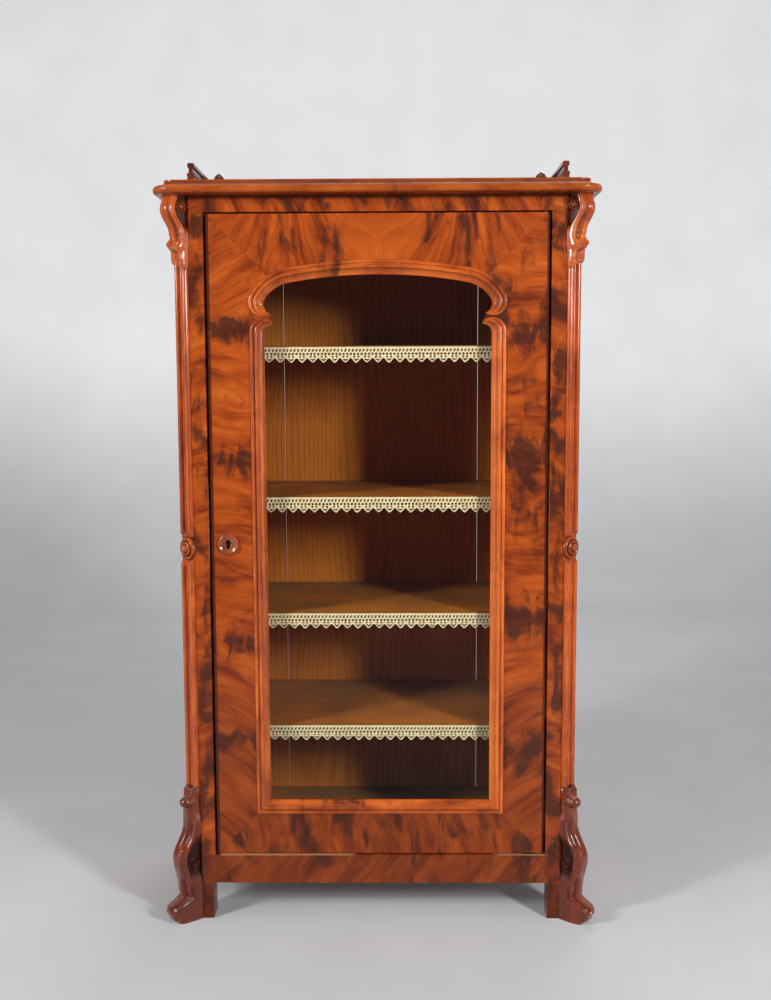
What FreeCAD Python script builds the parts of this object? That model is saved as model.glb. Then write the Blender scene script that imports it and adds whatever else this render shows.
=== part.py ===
import FreeCAD, Part
import math
import os
import Sketcher

# Glazed display cupboard with one framed glass door, canted carved corners and four shelves.
# Front faces -Y, +X is the viewer's right, +Z is up; the origin lies on the floor under the middle.

doc = FreeCAD.newDocument("GlazedCupboard")
sheet = doc.addObject("Spreadsheet::Sheet", "Sizes")

# Driving sizes in millimetres (angles in degrees): alias, number, what it measures.
SIZES = (
    ("carcase_width", 876, "across the outer faces of the sides"),
    ("carcase_depth", 450, "front face of the rails to the back"),
    ("floor_clearance", 84, "floor to the underside of the base rail"),
    ("base_rail_height", 65, "base rail"),
    ("stile_face", 30, "post's front face between the door and the cut-off corner"),
    ("opening_height", 1425, "door opening between the rails"),
    ("frieze_height", 34, "frieze rail above the door"),
    ("rail_thickness", 25, "frieze and base rail, front to back"),
    ("cant_leg", 35, "width of the cut-off corner along each side"),
    ("post_depth", 48, "corner post, front to back"),
    ("post_foot_inset", 5, "how much narrower the post is below the rail"),
    ("side_thickness", 20, "side boards"),
    ("panel_thickness", 20, "bottom and top boards"),
    ("back_thickness", 12, "back boards"),
    ("middle_back_width", 490, "middle back board"),
    ("back_joint_gap", 1.5, "open joint between back boards"),
    ("rear_foot_width", 45, "rear foot across"),
    ("rear_foot_depth", 50, "rear foot front to back"),
    ("rear_foot_taper", 9, "how much the rear foot narrows to the floor"),
    ("top_overhang_side", 39, "moulded top beyond each side"),
    ("top_overhang_front", 48, "moulded top beyond the front"),
    ("top_corner_radius", 48, "rounded front corners of the top in plan"),
    ("top_edge_width", 40, "moulded band round the top"),
    ("torus_height", 18, "half-round at the foot of the top's edge"),
    ("torus_fillet", 5, "flat between the half-round and the cove"),
    ("cove_run", 10, "cove, inwards"),
    ("cove_rise", 9, "cove, upwards"),
    ("top_fillet", 3, "upright edge above the cove"),
    ("gallery_rail_height", 66, "gallery side rails"),
    ("gallery_back_height", 58, "gallery back rail"),
    ("gallery_foot_width", 32, "gallery rails at the plinth"),
    ("gallery_plinth_height", 8, "height of the gallery rail's plinth"),
    ("gallery_bead_width", 18,"gallery rails at the bead"),
    ("gallery_bead_height", 9, "height of the gallery rail's bead"),
    ("gallery_neck_width", 9, "gallery rails at the neck under the cap"),
    ("gallery_neck_height", 21, "top of the gallery rail to its bead"),
    ("gallery_thickness", 15, "gallery rails at the cap"),
    ("gallery_cap_height", 9, "height of the gallery rail's cap"),
    ("gallery_arris_width", 2, "bevel along the gallery rail's cap"),
    ("gallery_front_distance", 150, "front end of the gallery behind the front face"),
    ("gallery_post_height", 87, "turned gallery posts"),
    ("gallery_stem", 17, "diameter of the turned stems"),
    ("gallery_knob", 33, "diameter of the turned caps"),
    ("gallery_knob_rise", 13, "height of the turned caps"),
    ("shelf_thickness", 18, "shelves"),
    ("upper_shelf_height", 1292, "top of the shelf above the floor"),
    ("second_shelf_height", 960, "top of the shelf above the floor"),
    ("third_shelf_height", 697, "top of the shelf above the floor"),
    ("lower_shelf_height", 438, "top of the shelf above the floor"),
    ("shelf_end_clearance", 1, "shelf ends to the sides"),
    ("shelf_front_clearance", 2, "shelf fronts behind the posts"),
    ("cleat_width", 18, "shelf cleats"),
    ("cleat_height", 22, "shelf cleats"),
    ("cleat_end_gap", 12, "cleat ends to the posts and the back"),
    ("lace_drop", 34, "lace edging, top to points"),
    ("lace_reveal", 3, "shelf edge showing above the lace"),
    ("lace_thickness", 1.6, "lace edging"),
    ("lace_end_gap", 2, "lace ends to the posts"),
    ("door_side_gap", 5, "door to the posts"),
    ("door_top_gap", 3, "door to the frieze rail"),
    ("door_bottom_gap", 3, "door to the base rail"),
    ("door_recess", 6, "door face behind the front face"),
    ("door_thickness", 24, "door frame"),
    ("door_face_width", 91, "flat face beside and below the moulding"),
    ("door_crown_height", 97, "flat face above the crown of the arch"),
    ("door_stile_width", 148, "stile blank, cusp included"),
    ("lip_depth", 11, "door face to the glass"),
    ("rebate_width", 8, "glass rebate beyond the moulding's outline"),
    ("glass_thickness", 3, "pane"),
    ("glass_clearance", 1.5, "pane to the rebate"),
    ("glazing_bead_width", 12, "battens that hold the pane"),
    ("glazing_bead_depth", 8, "battens that hold the pane"),
    ("moulding_width", 31, "glass moulding across"),
    ("bead_proud", 4, "outer bead of the moulding beyond the door face"),
    ("ovolo_proud", 5.6, "middle ovolo of the moulding beyond the door face"),
    ("sight_drop", 7, "inner edge of the moulding behind the door face"),
    ("lobe_bulge", 2.5, "arch lobes beyond the straight moulding"),
    ("lobe_radius", 30, "outer line of the arch lobes"),
    ("lobe_inner_radius", 22, "inner line of the arch lobes"),
    ("lobe_end_angle", 214, "angle from upright where the outer lobe ends"),
    ("lobe_inner_end_angle", 162, "angle from upright where the inner lobe ends"),
    ("shoulder_radius", 111, "outer line of the arch shoulders"),
    ("crown_angle", 10, "half angle of the flat crown of the arch"),
    ("shoulder_angle", 63, "angle from upright where the outer shoulder ends"),
    ("shoulder_inner_angle", 55, "angle from upright where the inner shoulder ends"),
    ("curl_drop", 63, "centre of the lower curl below the lobe's centre"),
    ("curl_radius", 29.5, "outer line of the lower curl"),
    ("curl_end_angle", 132, "angle from level where the outer curl ends"),
    ("curl_inner_radius", 18.5, "inner line of the lower curl"),
    ("curl_inner_drop", 3, "inner curl centre below the outer one"),
    ("curl_inner_end_angle", 96, "angle from level where the inner curl ends"),
    ("hinge_edge_distance", 8, "pivot inside the door's edge"),
    ("hinge_face_distance", 7, "pivot behind the door's face"),
    ("hinge_length", 46, "hinge plates"),
    ("hinge_width", 12, "hinge plates"),
    ("hinge_end", 6, "plate beyond the pin"),
    ("hinge_plate", 3, "hinge plates"),
    ("hinge_pin_radius", 3, "pivot pins"),
    ("hinge_pin_clearance", 0.05, "pin to leaf"),
    ("hinge_pin_depth", 6, "pin inside the door"),
    ("hinge_collar_radius", 5.5, "collar the door rides on"),
    ("lock_height", 858, "middle of the keyhole above the floor"),
    ("lock_backset", 37, "keyhole inside the door's edge"),
    ("lock_width", 60, "lock case"),
    ("lock_case_height", 84, "lock case"),
    ("lock_case_depth", 10, "lock case let into the back of the stile"),
    ("lock_wall", 2, "plates of the lock case"),
    ("bolt_rise", 18, "bolt above the keyhole"),
    ("bolt_height", 16, "bolt"),
    ("bolt_thickness", 5, "bolt"),
    ("bolt_length", 42, "bolt"),
    ("bolt_throw", 10, "travel of the bolt"),
    ("bolt_clearance", 0.5, "bolt in its case and in the strike"),
    ("keyhole_width", 12, "keyhole"),
    ("keyhole_height", 20, "keyhole"),
    ("strike_thickness", 2, "strike plate"),
    ("strike_height", 50, "strike plate"),
    ("strike_width", 18, "strike plate"),
    ("stop_width", 12, "door stop"),
    ("stop_depth", 12, "door stop"),
    ("stop_clearance", 0.4, "door back to the stop"),
    ("escutcheon_diameter", 46, "turned ring"),
    ("escutcheon_plate", 3, "turned ring's dish"),
    ("escutcheon_rim", 3.5, "radius of the ring's raised rim"),
    ("rosette_height", 848, "middle of the rosettes above the floor"),
    ("rosette_diameter", 50, "turned rosettes"),
    ("rosette_flange", 5, "rosette's outer flange"),
    ("rosette_ring", 4, "radius of the rosette's rings"),
    ("rosette_boss", 9, "radius of the rosette's boss"),
    ("rosette_space", 8, "rosette to the ends of the strips"),
    ("strip_width", 40, "reeded strips"),
    ("strip_base", 4, "ground of the reeded strips"),
    ("outer_reed", 7, "radius of the two outer reeds"),
    ("middle_reed", 3, "radius of the middle reed"),
    ("scroll_width", 48, "consoles and scroll feet across"),
    ("console_height", 157, "consoles"),
    ("console_top_reach", 36, "console at the top"),
    ("brow_reach", 44, "console at its widest"),
    ("waist_reach", 19, "console at its waist"),
    ("lip_reach", 31, "console's curled lip"),
    ("console_neck_reach", 17, "console under the lip"),
    ("scroll_foot_height", 309, "scroll feet"),
    ("sole_reach", 58, "foot on the floor"),
    ("toe_reach", 72, "foot at the toe"),
    ("ankle_reach", 36, "foot above the toe"),
    ("knee_reach", 52, "foot at the knee"),
    ("foot_neck_reach", 16.5, "foot under the knob"),
    ("knob_reach", 31, "foot's knob"),
    ("scroll_end_reach", 11, "carvings where they meet the strips"),
    ("channel_depth", 5, "hollow between the ridges of the carvings"),
    ("carving_step", 6, "distance between the plans a carving is shaped through"),
)
for row, (alias, number, note) in enumerate(SIZES, start=1):
    sheet.set(f"A{row}", note)
    sheet.set(f"B{row}", str(number))
    sheet.setAlias(f"B{row}", alias)
doc.recompute()


def value(expression):
    return float(sheet.evalExpression(expression))


# Levels and faces that several pieces share, as expressions of the sizes.
# Depths are counted backwards from the front face of the rails.
TOE_FRONT = "((Sizes.toe_reach + Sizes.scroll_width * 0.33) * sqrt(0.5) - Sizes.cant_leg / 2)"
FRONT = f"((max({TOE_FRONT}; Sizes.top_overhang_front) - Sizes.carcase_depth) / 2)"
OPENING_BOTTOM = "(Sizes.floor_clearance + Sizes.base_rail_height)"
OPENING_TOP = f"({OPENING_BOTTOM} + Sizes.opening_height)"
CARCASE_TOP = f"({OPENING_TOP} + Sizes.frieze_height)"
TOP_HEIGHT = "(Sizes.torus_height + Sizes.cove_rise + Sizes.top_fillet)"
TOP_SURFACE = f"({CARCASE_TOP} + {TOP_HEIGHT})"
HALF_WIDTH = "(Sizes.carcase_width / 2)"
HALF_INSIDE = f"({HALF_WIDTH} - Sizes.side_thickness)"
POST_FACE = f"({HALF_WIDTH} - Sizes.cant_leg)"
HALF_OPENING = f"({POST_FACE} - Sizes.stile_face)"
BACK_FACE = "(Sizes.carcase_depth - Sizes.back_thickness)"
SHELF_FRONT = "(Sizes.post_depth + Sizes.shelf_front_clearance)"
CANT_X = f"({HALF_WIDTH} - Sizes.cant_leg / 2)"
CANT_Y = f"({FRONT} + Sizes.cant_leg / 2)"

DOOR_HALF = f"({HALF_OPENING} - Sizes.door_side_gap)"
DOOR_BOTTOM = f"({OPENING_BOTTOM} + Sizes.door_bottom_gap)"
DOOR_TOP = f"({OPENING_TOP} - Sizes.door_top_gap)"
DOOR_FACE = "Sizes.door_recess"
DOOR_BACK = "(Sizes.door_recess + Sizes.door_thickness)"
GLASS_FACE = "(Sizes.door_recess + Sizes.lip_depth)"
GLASS_BACK = f"({GLASS_FACE} + Sizes.glass_thickness)"
FRAME_HALF = f"({DOOR_HALF} - Sizes.door_face_width)"
FRAME_BOTTOM = f"({DOOR_BOTTOM} + Sizes.door_face_width)"
CROWN = f"({DOOR_TOP} - Sizes.door_crown_height)"
REBATE_HALF = f"({FRAME_HALF} + Sizes.rebate_width)"
REBATE_BOTTOM = f"({FRAME_BOTTOM} - Sizes.rebate_width)"
REBATE_TOP = f"({CROWN} + Sizes.rebate_width)"
PIVOT_X = f"({DOOR_HALF} - Sizes.hinge_edge_distance)"
PIVOT_Y = f"({DOOR_FACE} + Sizes.hinge_face_distance)"
KEY_X = f"(Sizes.lock_backset - {DOOR_HALF})"
BOLT_Z = "(Sizes.lock_height + Sizes.bolt_rise)"
BOLT_MIDDLE = f"({DOOR_BACK} - Sizes.lock_case_depth / 2)"

pieces = []
SIDES = (("left", -1), ("right", 1))


def piece(label, feature):
    feature.Label = label
    pieces.append(feature)
    return feature


def signed(sign, low, high):
    if sign < 0:
        return f"-({high})", f"-({low})"
    return low, high


def block(name, x, y, z):
    box = doc.addObject("Part::Box", name)
    box.setExpression("Length", f"({x[1]}) - ({x[0]})")
    box.setExpression("Width", f"({y[1]}) - ({y[0]})")
    box.setExpression("Height", f"({z[1]}) - ({z[0]})")
    box.setExpression("Placement.Base.x", x[0])
    box.setExpression("Placement.Base.y", f"{FRONT} + ({y[0]})")
    box.setExpression("Placement.Base.z", z[0])
    return box


def rod(name, radius, height, x, y, z, turn=None):
    cylinder = doc.addObject("Part::Cylinder", name)
    if turn:
        cylinder.Placement.Rotation = turn
    cylinder.setExpression("Radius", radius)
    cylinder.setExpression("Height", height)
    cylinder.setExpression("Placement.Base.x", x)
    cylinder.setExpression("Placement.Base.y", y)
    cylinder.setExpression("Placement.Base.z", z)
    return cylinder


def joined(name, shapes):
    union = doc.addObject("Part::MultiFuse", name)
    union.Shapes = shapes
    return union


def less(name, base, tools):
    cut = doc.addObject("Part::Cut", name)
    cut.Base = base
    cut.Tool = tools[0] if len(tools) == 1 else joined(name + "_tools", tools)
    return cut


def body(name):
    made = doc.addObject("PartDesign::Body", name)
    made.setExpression("Placement.Base.y", FRONT)
    return made


def sketch(owner, role, name):
    drawing = owner.newObject("Sketcher::SketchObject", name)
    plane = [feature for feature in owner.Origin.OriginFeatures if feature.Role == role][0]
    drawing.AttachmentSupport = [(plane, "")]
    drawing.MapMode = "FlatFace"
    return drawing


def fix_point(drawing, line, end, place):
    for kind, expression in zip(("DistanceX", "DistanceY"), place):
        number = value(expression)
        index = drawing.addConstraint(Sketcher.Constraint(kind, -1, 1, line, end, number))
        drawing.setExpression(f"Constraints[{index}]", expression)


def outline(drawing, steps):
    """Closed outline: each step is a point (x, y), or (x, y, centre x, turn) for an arc up to it."""
    count = len(steps)
    ends = []
    for index, step in enumerate(steps):
        before = steps[index - 1]
        start = FreeCAD.Vector(value(before[0]), value(before[1]), 0)
        stop = FreeCAD.Vector(value(step[0]), value(step[1]), 0)
        if len(step) == 2:
            drawing.addGeometry(Part.LineSegment(start, stop), False)
            ends.append((1, 2))
            continue
        middle = (start + stop) / 2
        chord = stop - start
        centre_x = value(step[2])
        centre_y = middle.y - chord.x * (centre_x - middle.x) / chord.y
        centre = FreeCAD.Vector(centre_x, centre_y, 0)
        angles = [math.atan2(point.y - centre.y, point.x - centre.x) for point in (start, stop)]
        circle = Part.Circle(centre, FreeCAD.Vector(0, 0, 1), (start - centre).Length)
        if step[3] > 0:
            drawing.addGeometry(Part.ArcOfCircle(circle, angles[0], angles[1]), False)
            ends.append((1, 2))
        else:
            drawing.addGeometry(Part.ArcOfCircle(circle, angles[1], angles[0]), False)
            ends.append((2, 1))
    for index in range(count):
        following = (index + 1) % count
        joint = Sketcher.Constraint("Coincident", index, ends[index][1], following, ends[following][0])
        drawing.addConstraint(joint)
    for index, step in enumerate(steps):
        fix_point(drawing, index, ends[index][1], step[:2])
        if len(step) == 4:
            number = value(step[2])
            held = drawing.addConstraint(Sketcher.Constraint("DistanceX", -1, 1, index, 3, number))
            drawing.setExpression(f"Constraints[{held}]", step[2])


def pad(owner, drawing, length, start=None):
    if start:
        drawing.setExpression("AttachmentOffset.Base.z", start)
    feature = owner.newObject("PartDesign::Pad", drawing.Name + "_pad")
    feature.Profile = drawing
    feature.setExpression("Length", length)
    return feature


def pocket(owner, drawing, length):
    feature = owner.newObject("PartDesign::Pocket", drawing.Name + "_pocket")
    feature.Profile = drawing
    feature.setExpression("Length", length)
    doc.recompute()
    if not feature.Shape.Volume < feature.BaseFeature.Shape.Volume - 1:
        raise RuntimeError(drawing.Name + " cuts nothing")
    return feature


def rectangle(x, y):
    return [(x[0], y[0]), (x[1], y[0]), (x[1], y[1]), (x[0], y[1])]


# Corner posts: front face, canted corner, a housing for the base rail and a narrower foot.
# The left post also takes the strike plate and the mortise for the bolt.
for side, sign in SIDES:
    post = body(f"{side}_corner_post")
    plan = sketch(post, "XY_Plane", f"{side}_post_plan")
    outline(plan, [(f"{sign} * {x}", y) for x, y in (
        (HALF_OPENING, "0"),
        (POST_FACE, "0"),
        (HALF_WIDTH, "Sizes.cant_leg"),
        (HALF_WIDTH, "Sizes.post_depth"),
        (HALF_OPENING, "Sizes.post_depth"))])
    pad(post, plan, CARCASE_TOP)
    housing = sketch(post, "XZ_Plane", f"{side}_rail_housing")
    outline(housing, rectangle(signed(sign, HALF_OPENING, POST_FACE),
                               ("Sizes.floor_clearance", OPENING_BOTTOM)))
    pocket(post, housing, "Sizes.rail_thickness")
    foot = sketch(post, "XZ_Plane", f"{side}_post_foot")
    outline(foot, rectangle(signed(sign, HALF_OPENING, f"{HALF_OPENING} + Sizes.post_foot_inset"),
                            ("0", "Sizes.floor_clearance")))
    pocket(post, foot, "Sizes.post_depth")
    if side == "left":
        seat = sketch(post, "YZ_Plane", "strike_seat")
        outline(seat, rectangle(
            (f"{BOLT_MIDDLE} - Sizes.strike_width / 2", f"{BOLT_MIDDLE} + Sizes.strike_width / 2"),
            (f"{BOLT_Z} - Sizes.strike_height / 2", f"{BOLT_Z} + Sizes.strike_height / 2")))
        pocket(post, seat, f"{HALF_OPENING} + Sizes.strike_thickness")
        mortise = sketch(post, "YZ_Plane", "bolt_mortise")
        bolt_room = "(Sizes.bolt_thickness / 2 + Sizes.bolt_clearance)"
        bolt_headroom = "(Sizes.bolt_height / 2 + Sizes.bolt_clearance)"
        outline(mortise, rectangle(
            (f"{BOLT_MIDDLE} - {bolt_room}", f"{BOLT_MIDDLE} + {bolt_room}"),
            (f"{BOLT_Z} - {bolt_headroom}", f"{BOLT_Z} + {bolt_headroom}")))
        pocket(post, mortise, f"{HALF_OPENING} + Sizes.bolt_throw")
    piece(f"{side}_corner_post", post)

# Sides, rear feet and the cleats under the shelves.
SHELVES = ("upper", "second", "third", "lower")
for side, sign in SIDES:
    piece(f"{side}_side", block(
        f"{side}_side", signed(sign, HALF_INSIDE, HALF_WIDTH),
        ("Sizes.post_depth", "Sizes.carcase_depth"), ("Sizes.floor_clearance", CARCASE_TOP)))

    rear = doc.addObject("Part::Wedge", f"{side}_rear_foot")
    inner = f"({HALF_INSIDE} - Sizes.rear_foot_width)"
    foot_x = signed(sign, inner, HALF_INSIDE)
    taper_x = signed(sign, f"{inner} + Sizes.rear_foot_taper", HALF_INSIDE)
    foot_top = f"({OPENING_BOTTOM} - Sizes.panel_thickness)"
    rear.Placement.Rotation = FreeCAD.Rotation(FreeCAD.Vector(1, 0, 0), 90)
    rear.setExpression("Xmin", taper_x[0])
    rear.setExpression("Xmax", taper_x[1])
    rear.setExpression("X2min", foot_x[0])
    rear.setExpression("X2max", foot_x[1])
    rear.setExpression("Ymin", "0")
    rear.setExpression("Ymax", foot_top)
    rear.setExpression("Zmin", f"-({FRONT} + {BACK_FACE})")
    rear.setExpression("Zmax", f"Sizes.rear_foot_depth - Sizes.rear_foot_taper - ({FRONT} + {BACK_FACE})")
    rear.setExpression("Z2min", f"-({FRONT} + {BACK_FACE})")
    rear.setExpression("Z2max", f"Sizes.rear_foot_depth - ({FRONT} + {BACK_FACE})")
    piece(f"{side}_rear_foot", rear)

    cleats = []
    for shelf in SHELVES:
        under = f"(Sizes.{shelf}_shelf_height - Sizes.shelf_thickness)"
        cleats.append(block(
            f"{side}_{shelf}_cleat",
            signed(sign, f"{HALF_INSIDE} - Sizes.cleat_width", HALF_INSIDE),
            ("Sizes.post_depth + Sizes.cleat_end_gap", f"{BACK_FACE} - Sizes.cleat_end_gap"),
            (f"{under} - Sizes.cleat_height", under)))
    piece(f"{side}_shelf_cleats", joined(f"{side}_shelf_cleats", cleats))

# Bottom and top boards, notched round the corner posts.
NOTCHED = (
    (f"-{HALF_OPENING}", "Sizes.rail_thickness"),
    (HALF_OPENING, "Sizes.rail_thickness"),
    (HALF_OPENING, "Sizes.post_depth"),
    (HALF_INSIDE, "Sizes.post_depth"),
    (HALF_INSIDE, BACK_FACE),
    (f"-{HALF_INSIDE}", BACK_FACE),
    (f"-{HALF_INSIDE}", "Sizes.post_depth"),
    (f"-{HALF_OPENING}", "Sizes.post_depth"))
for label, level in (("bottom_board", OPENING_BOTTOM), ("carcase_top_board", CARCASE_TOP)):
    panel = body(label)
    plan = sketch(panel, "XY_Plane", f"{label}_plan")
    outline(plan, list(NOTCHED))
    pad(panel, plan, "Sizes.panel_thickness", f"{level} - Sizes.panel_thickness")
    piece(label, panel)

# Back boards: three uprights between the sides with open joints.
JOINT = "(Sizes.middle_back_width / 2)"
for label, x in (
        ("back_board_left", (f"-{HALF_INSIDE}", f"-({JOINT} + Sizes.back_joint_gap)")),
        ("back_board_middle", (f"-{JOINT}", JOINT)),
        ("back_board_right", (f"{JOINT} + Sizes.back_joint_gap", HALF_INSIDE))):
    piece(label, block(label, x, (BACK_FACE, "Sizes.carcase_depth"),
                       ("Sizes.floor_clearance", CARCASE_TOP)))

# Shelves, and the lace edging pinned along each shelf's front.
for shelf in SHELVES:
    top = f"Sizes.{shelf}_shelf_height"
    shelf_half = f"({HALF_INSIDE} - Sizes.shelf_end_clearance)"
    piece(f"{shelf}_shelf", block(
        f"{shelf}_shelf", (f"-{shelf_half}", shelf_half), (SHELF_FRONT, BACK_FACE),
        (f"{top} - Sizes.shelf_thickness", top)))
    lace_half = f"({HALF_OPENING} - Sizes.lace_end_gap)"
    piece(f"{shelf}_lace", block(
        f"{shelf}_lace", (f"-{lace_half}", lace_half),
        (f"{SHELF_FRONT} - Sizes.lace_thickness", SHELF_FRONT),
        (f"{top} - Sizes.lace_reveal - Sizes.lace_drop", f"{top} - Sizes.lace_reveal")))

# Pivot hinges: a plate with a pin let into each rail, and a leaf let into the door's edge.
HINGE_X = (f"{PIVOT_X} + Sizes.hinge_end - Sizes.hinge_length", f"{PIVOT_X} + Sizes.hinge_end")
HINGE_Y = (f"{PIVOT_Y} - Sizes.hinge_width / 2", f"{PIVOT_Y} + Sizes.hinge_width / 2")
UPPER_PLATE = (OPENING_TOP, f"{OPENING_TOP} + Sizes.hinge_plate")
LOWER_PLATE = (f"{OPENING_BOTTOM} - Sizes.hinge_plate", OPENING_BOTTOM)
UPPER_LEAF = (f"{DOOR_TOP} - Sizes.hinge_plate", DOOR_TOP)
LOWER_LEAF = (DOOR_BOTTOM, f"{DOOR_BOTTOM} + Sizes.hinge_plate")
PIN_Y = f"{FRONT} + {PIVOT_Y}"
HOLE = "Sizes.hinge_pin_radius + Sizes.hinge_pin_clearance"
UPPER_PIN = "Sizes.door_top_gap + Sizes.hinge_pin_depth"
LOWER_PIN = "Sizes.door_bottom_gap + Sizes.hinge_pin_depth"

upper_pin = rod("upper_pin", "Sizes.hinge_pin_radius", UPPER_PIN,
                PIVOT_X, PIN_Y, f"{OPENING_TOP} - ({UPPER_PIN})")
piece("upper_hinge_plate", joined("upper_hinge_plate", [
    block("upper_plate", HINGE_X, HINGE_Y, UPPER_PLATE), upper_pin]))
lower_pin = rod("lower_pin", "Sizes.hinge_pin_radius", LOWER_PIN, PIVOT_X, PIN_Y, OPENING_BOTTOM)
collar = rod("lower_collar", "Sizes.hinge_collar_radius", "Sizes.door_bottom_gap",
             PIVOT_X, PIN_Y, OPENING_BOTTOM)
piece("lower_hinge_plate", joined("lower_hinge_plate", [
    block("lower_plate", HINGE_X, HINGE_Y, LOWER_PLATE), lower_pin, collar]))

upper_hole = rod("upper_hole", HOLE, "Sizes.hinge_plate + 2", PIVOT_X, PIN_Y, f"{UPPER_LEAF[0]} - 1")
piece("upper_hinge_leaf", less("upper_hinge_leaf", block(
    "upper_leaf", HINGE_X, HINGE_Y, UPPER_LEAF), [upper_hole]))
lower_hole = rod("lower_hole", HOLE, "Sizes.hinge_plate + 2", PIVOT_X, PIN_Y, f"{LOWER_LEAF[0]} - 1")
piece("lower_hinge_leaf", less("lower_hinge_leaf", block(
    "lower_leaf", HINGE_X, HINGE_Y, LOWER_LEAF), [lower_hole]))

# Frieze rail between the posts and base rail across them, both let in for the hinge plates.
frieze = block("frieze", (f"-{HALF_OPENING}", HALF_OPENING), ("0", "Sizes.rail_thickness"),
               (OPENING_TOP, CARCASE_TOP))
piece("frieze_rail", less("frieze_rail", frieze, [
    block("upper_plate_seat", HINGE_X, HINGE_Y, UPPER_PLATE)]))
base = block("base", (f"-{POST_FACE}", POST_FACE), ("0", "Sizes.rail_thickness"),
             ("Sizes.floor_clearance", OPENING_BOTTOM))
piece("base_rail", less("base_rail", base, [
    block("lower_plate_seat", HINGE_X, HINGE_Y, LOWER_PLATE)]))

# Moulded top: a board with a half-round, fillet and cove carried round the front and both sides.
top = body("moulded_top")
EDGE_HALF = f"({HALF_WIDTH} + Sizes.top_overhang_side - Sizes.top_edge_width)"
EDGE_FRONT = "(Sizes.top_edge_width - Sizes.top_overhang_front)"
PLAN_RADIUS = "(Sizes.top_corner_radius - Sizes.top_edge_width)"
run = (
    (f"-{EDGE_HALF}", "Sizes.carcase_depth"),
    (f"-{EDGE_HALF}", f"{EDGE_FRONT} + {PLAN_RADIUS}"),
    (f"-{EDGE_HALF} + {PLAN_RADIUS}", EDGE_FRONT, f"-{EDGE_HALF} + {PLAN_RADIUS}", 1),
    (f"{EDGE_HALF} - {PLAN_RADIUS}", EDGE_FRONT),
    (EDGE_HALF, f"{EDGE_FRONT} + {PLAN_RADIUS}", f"{EDGE_HALF} - {PLAN_RADIUS}", 1),
    (EDGE_HALF, "Sizes.carcase_depth"))
top_plan = sketch(top, "XY_Plane", "top_plan")
outline(top_plan, list(run))
pad(top, top_plan, TOP_HEIGHT, CARCASE_TOP)
edge = sketch(top, "XZ_Plane", "top_edge")
edge.setExpression("AttachmentOffset.Base.z", "-Sizes.carcase_depth")
TORUS_OUT = f"(-{EDGE_HALF} - Sizes.top_edge_width + Sizes.torus_height / 2)"
COVE_FOOT = f"({TORUS_OUT} + Sizes.torus_fillet)"
COVE_HEAD = f"({COVE_FOOT} + Sizes.cove_run)"
TORUS_TOP = f"({CARCASE_TOP} + Sizes.torus_height)"
outline(edge, [
    (f"-{EDGE_HALF}", CARCASE_TOP),
    (f"-{EDGE_HALF}", TOP_SURFACE),
    (COVE_HEAD, TOP_SURFACE),
    (COVE_HEAD, f"{TOP_SURFACE} - Sizes.top_fillet"),
    (COVE_FOOT, TORUS_TOP, f"{COVE_FOOT} - Sizes.cove_run / 8", -1),
    (TORUS_OUT, TORUS_TOP),
    (TORUS_OUT, CARCASE_TOP, TORUS_OUT, 1)])
edge_run = doc.addObject("PartDesign::AdditivePipe", "top_edge_run")
top.addObject(edge_run)
edge_run.Profile = edge
edge_run.Spine = (top_plan, ["Edge2", "Edge3", "Edge4", "Edge5", "Edge6"])
edge_run.Transition = "Transformed"
top.Tip = edge_run
piece("moulded_top", top)


# Gallery: moulded rails on the sides and back of the top, mitred at the back corners,
# and two turned posts inside the corners.
def rail_section(drawing, middle, height):
    """Upright section, alike on both faces: plinth, hollow foot, bead, thin neck and cap."""
    plinth = f"{TOP_SURFACE} + Sizes.gallery_plinth_height"
    head = f"{TOP_SURFACE} + {height}"
    bead_top = f"{head} - Sizes.gallery_neck_height"
    bead_foot = f"{bead_top} - Sizes.gallery_bead_height"
    face = (
        ("Sizes.gallery_foot_width / 2", TOP_SURFACE),
        ("Sizes.gallery_foot_width / 2", plinth),
        ("Sizes.gallery_foot_width * 0.3", f"({plinth} + {bead_foot}) / 2"),
        ("Sizes.gallery_thickness / 2", bead_foot),
        ("Sizes.gallery_bead_width / 2", f"{bead_foot} + Sizes.gallery_bead_height / 3"),
        ("Sizes.gallery_bead_width / 2", f"{bead_top} - Sizes.gallery_bead_height / 3"),
        ("Sizes.gallery_neck_width / 2", bead_top),
        ("Sizes.gallery_neck_width / 2", f"{head} - Sizes.gallery_cap_height * 1.35"),
        ("Sizes.gallery_thickness / 2", f"{head} - Sizes.gallery_cap_height"),
        ("Sizes.gallery_thickness / 2", f"{head} - Sizes.gallery_arris_width"),
        ("(Sizes.gallery_thickness / 2 - Sizes.gallery_arris_width)", head))
    right_face = [(f"{middle} + {half}", level) for half, level in face]
    left_face = [(f"{middle} - {half}", level) for half, level in face]
    outline(drawing, right_face + left_face[::-1])


def mitre_waste(name, turn, x, y):
    """Block turned so that one face lies on the mitre at a back corner of the gallery."""
    waste = block(name, (x, f"{x} + 4 * Sizes.gallery_foot_width"),
                  (y, f"{y} + 2 * Sizes.gallery_foot_width"),
                  (CARCASE_TOP, f"{TOP_SURFACE} + 2 * Sizes.gallery_rail_height"))
    waste.Placement.Rotation = FreeCAD.Rotation(FreeCAD.Vector(0, 0, 1), turn)
    return waste


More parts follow.
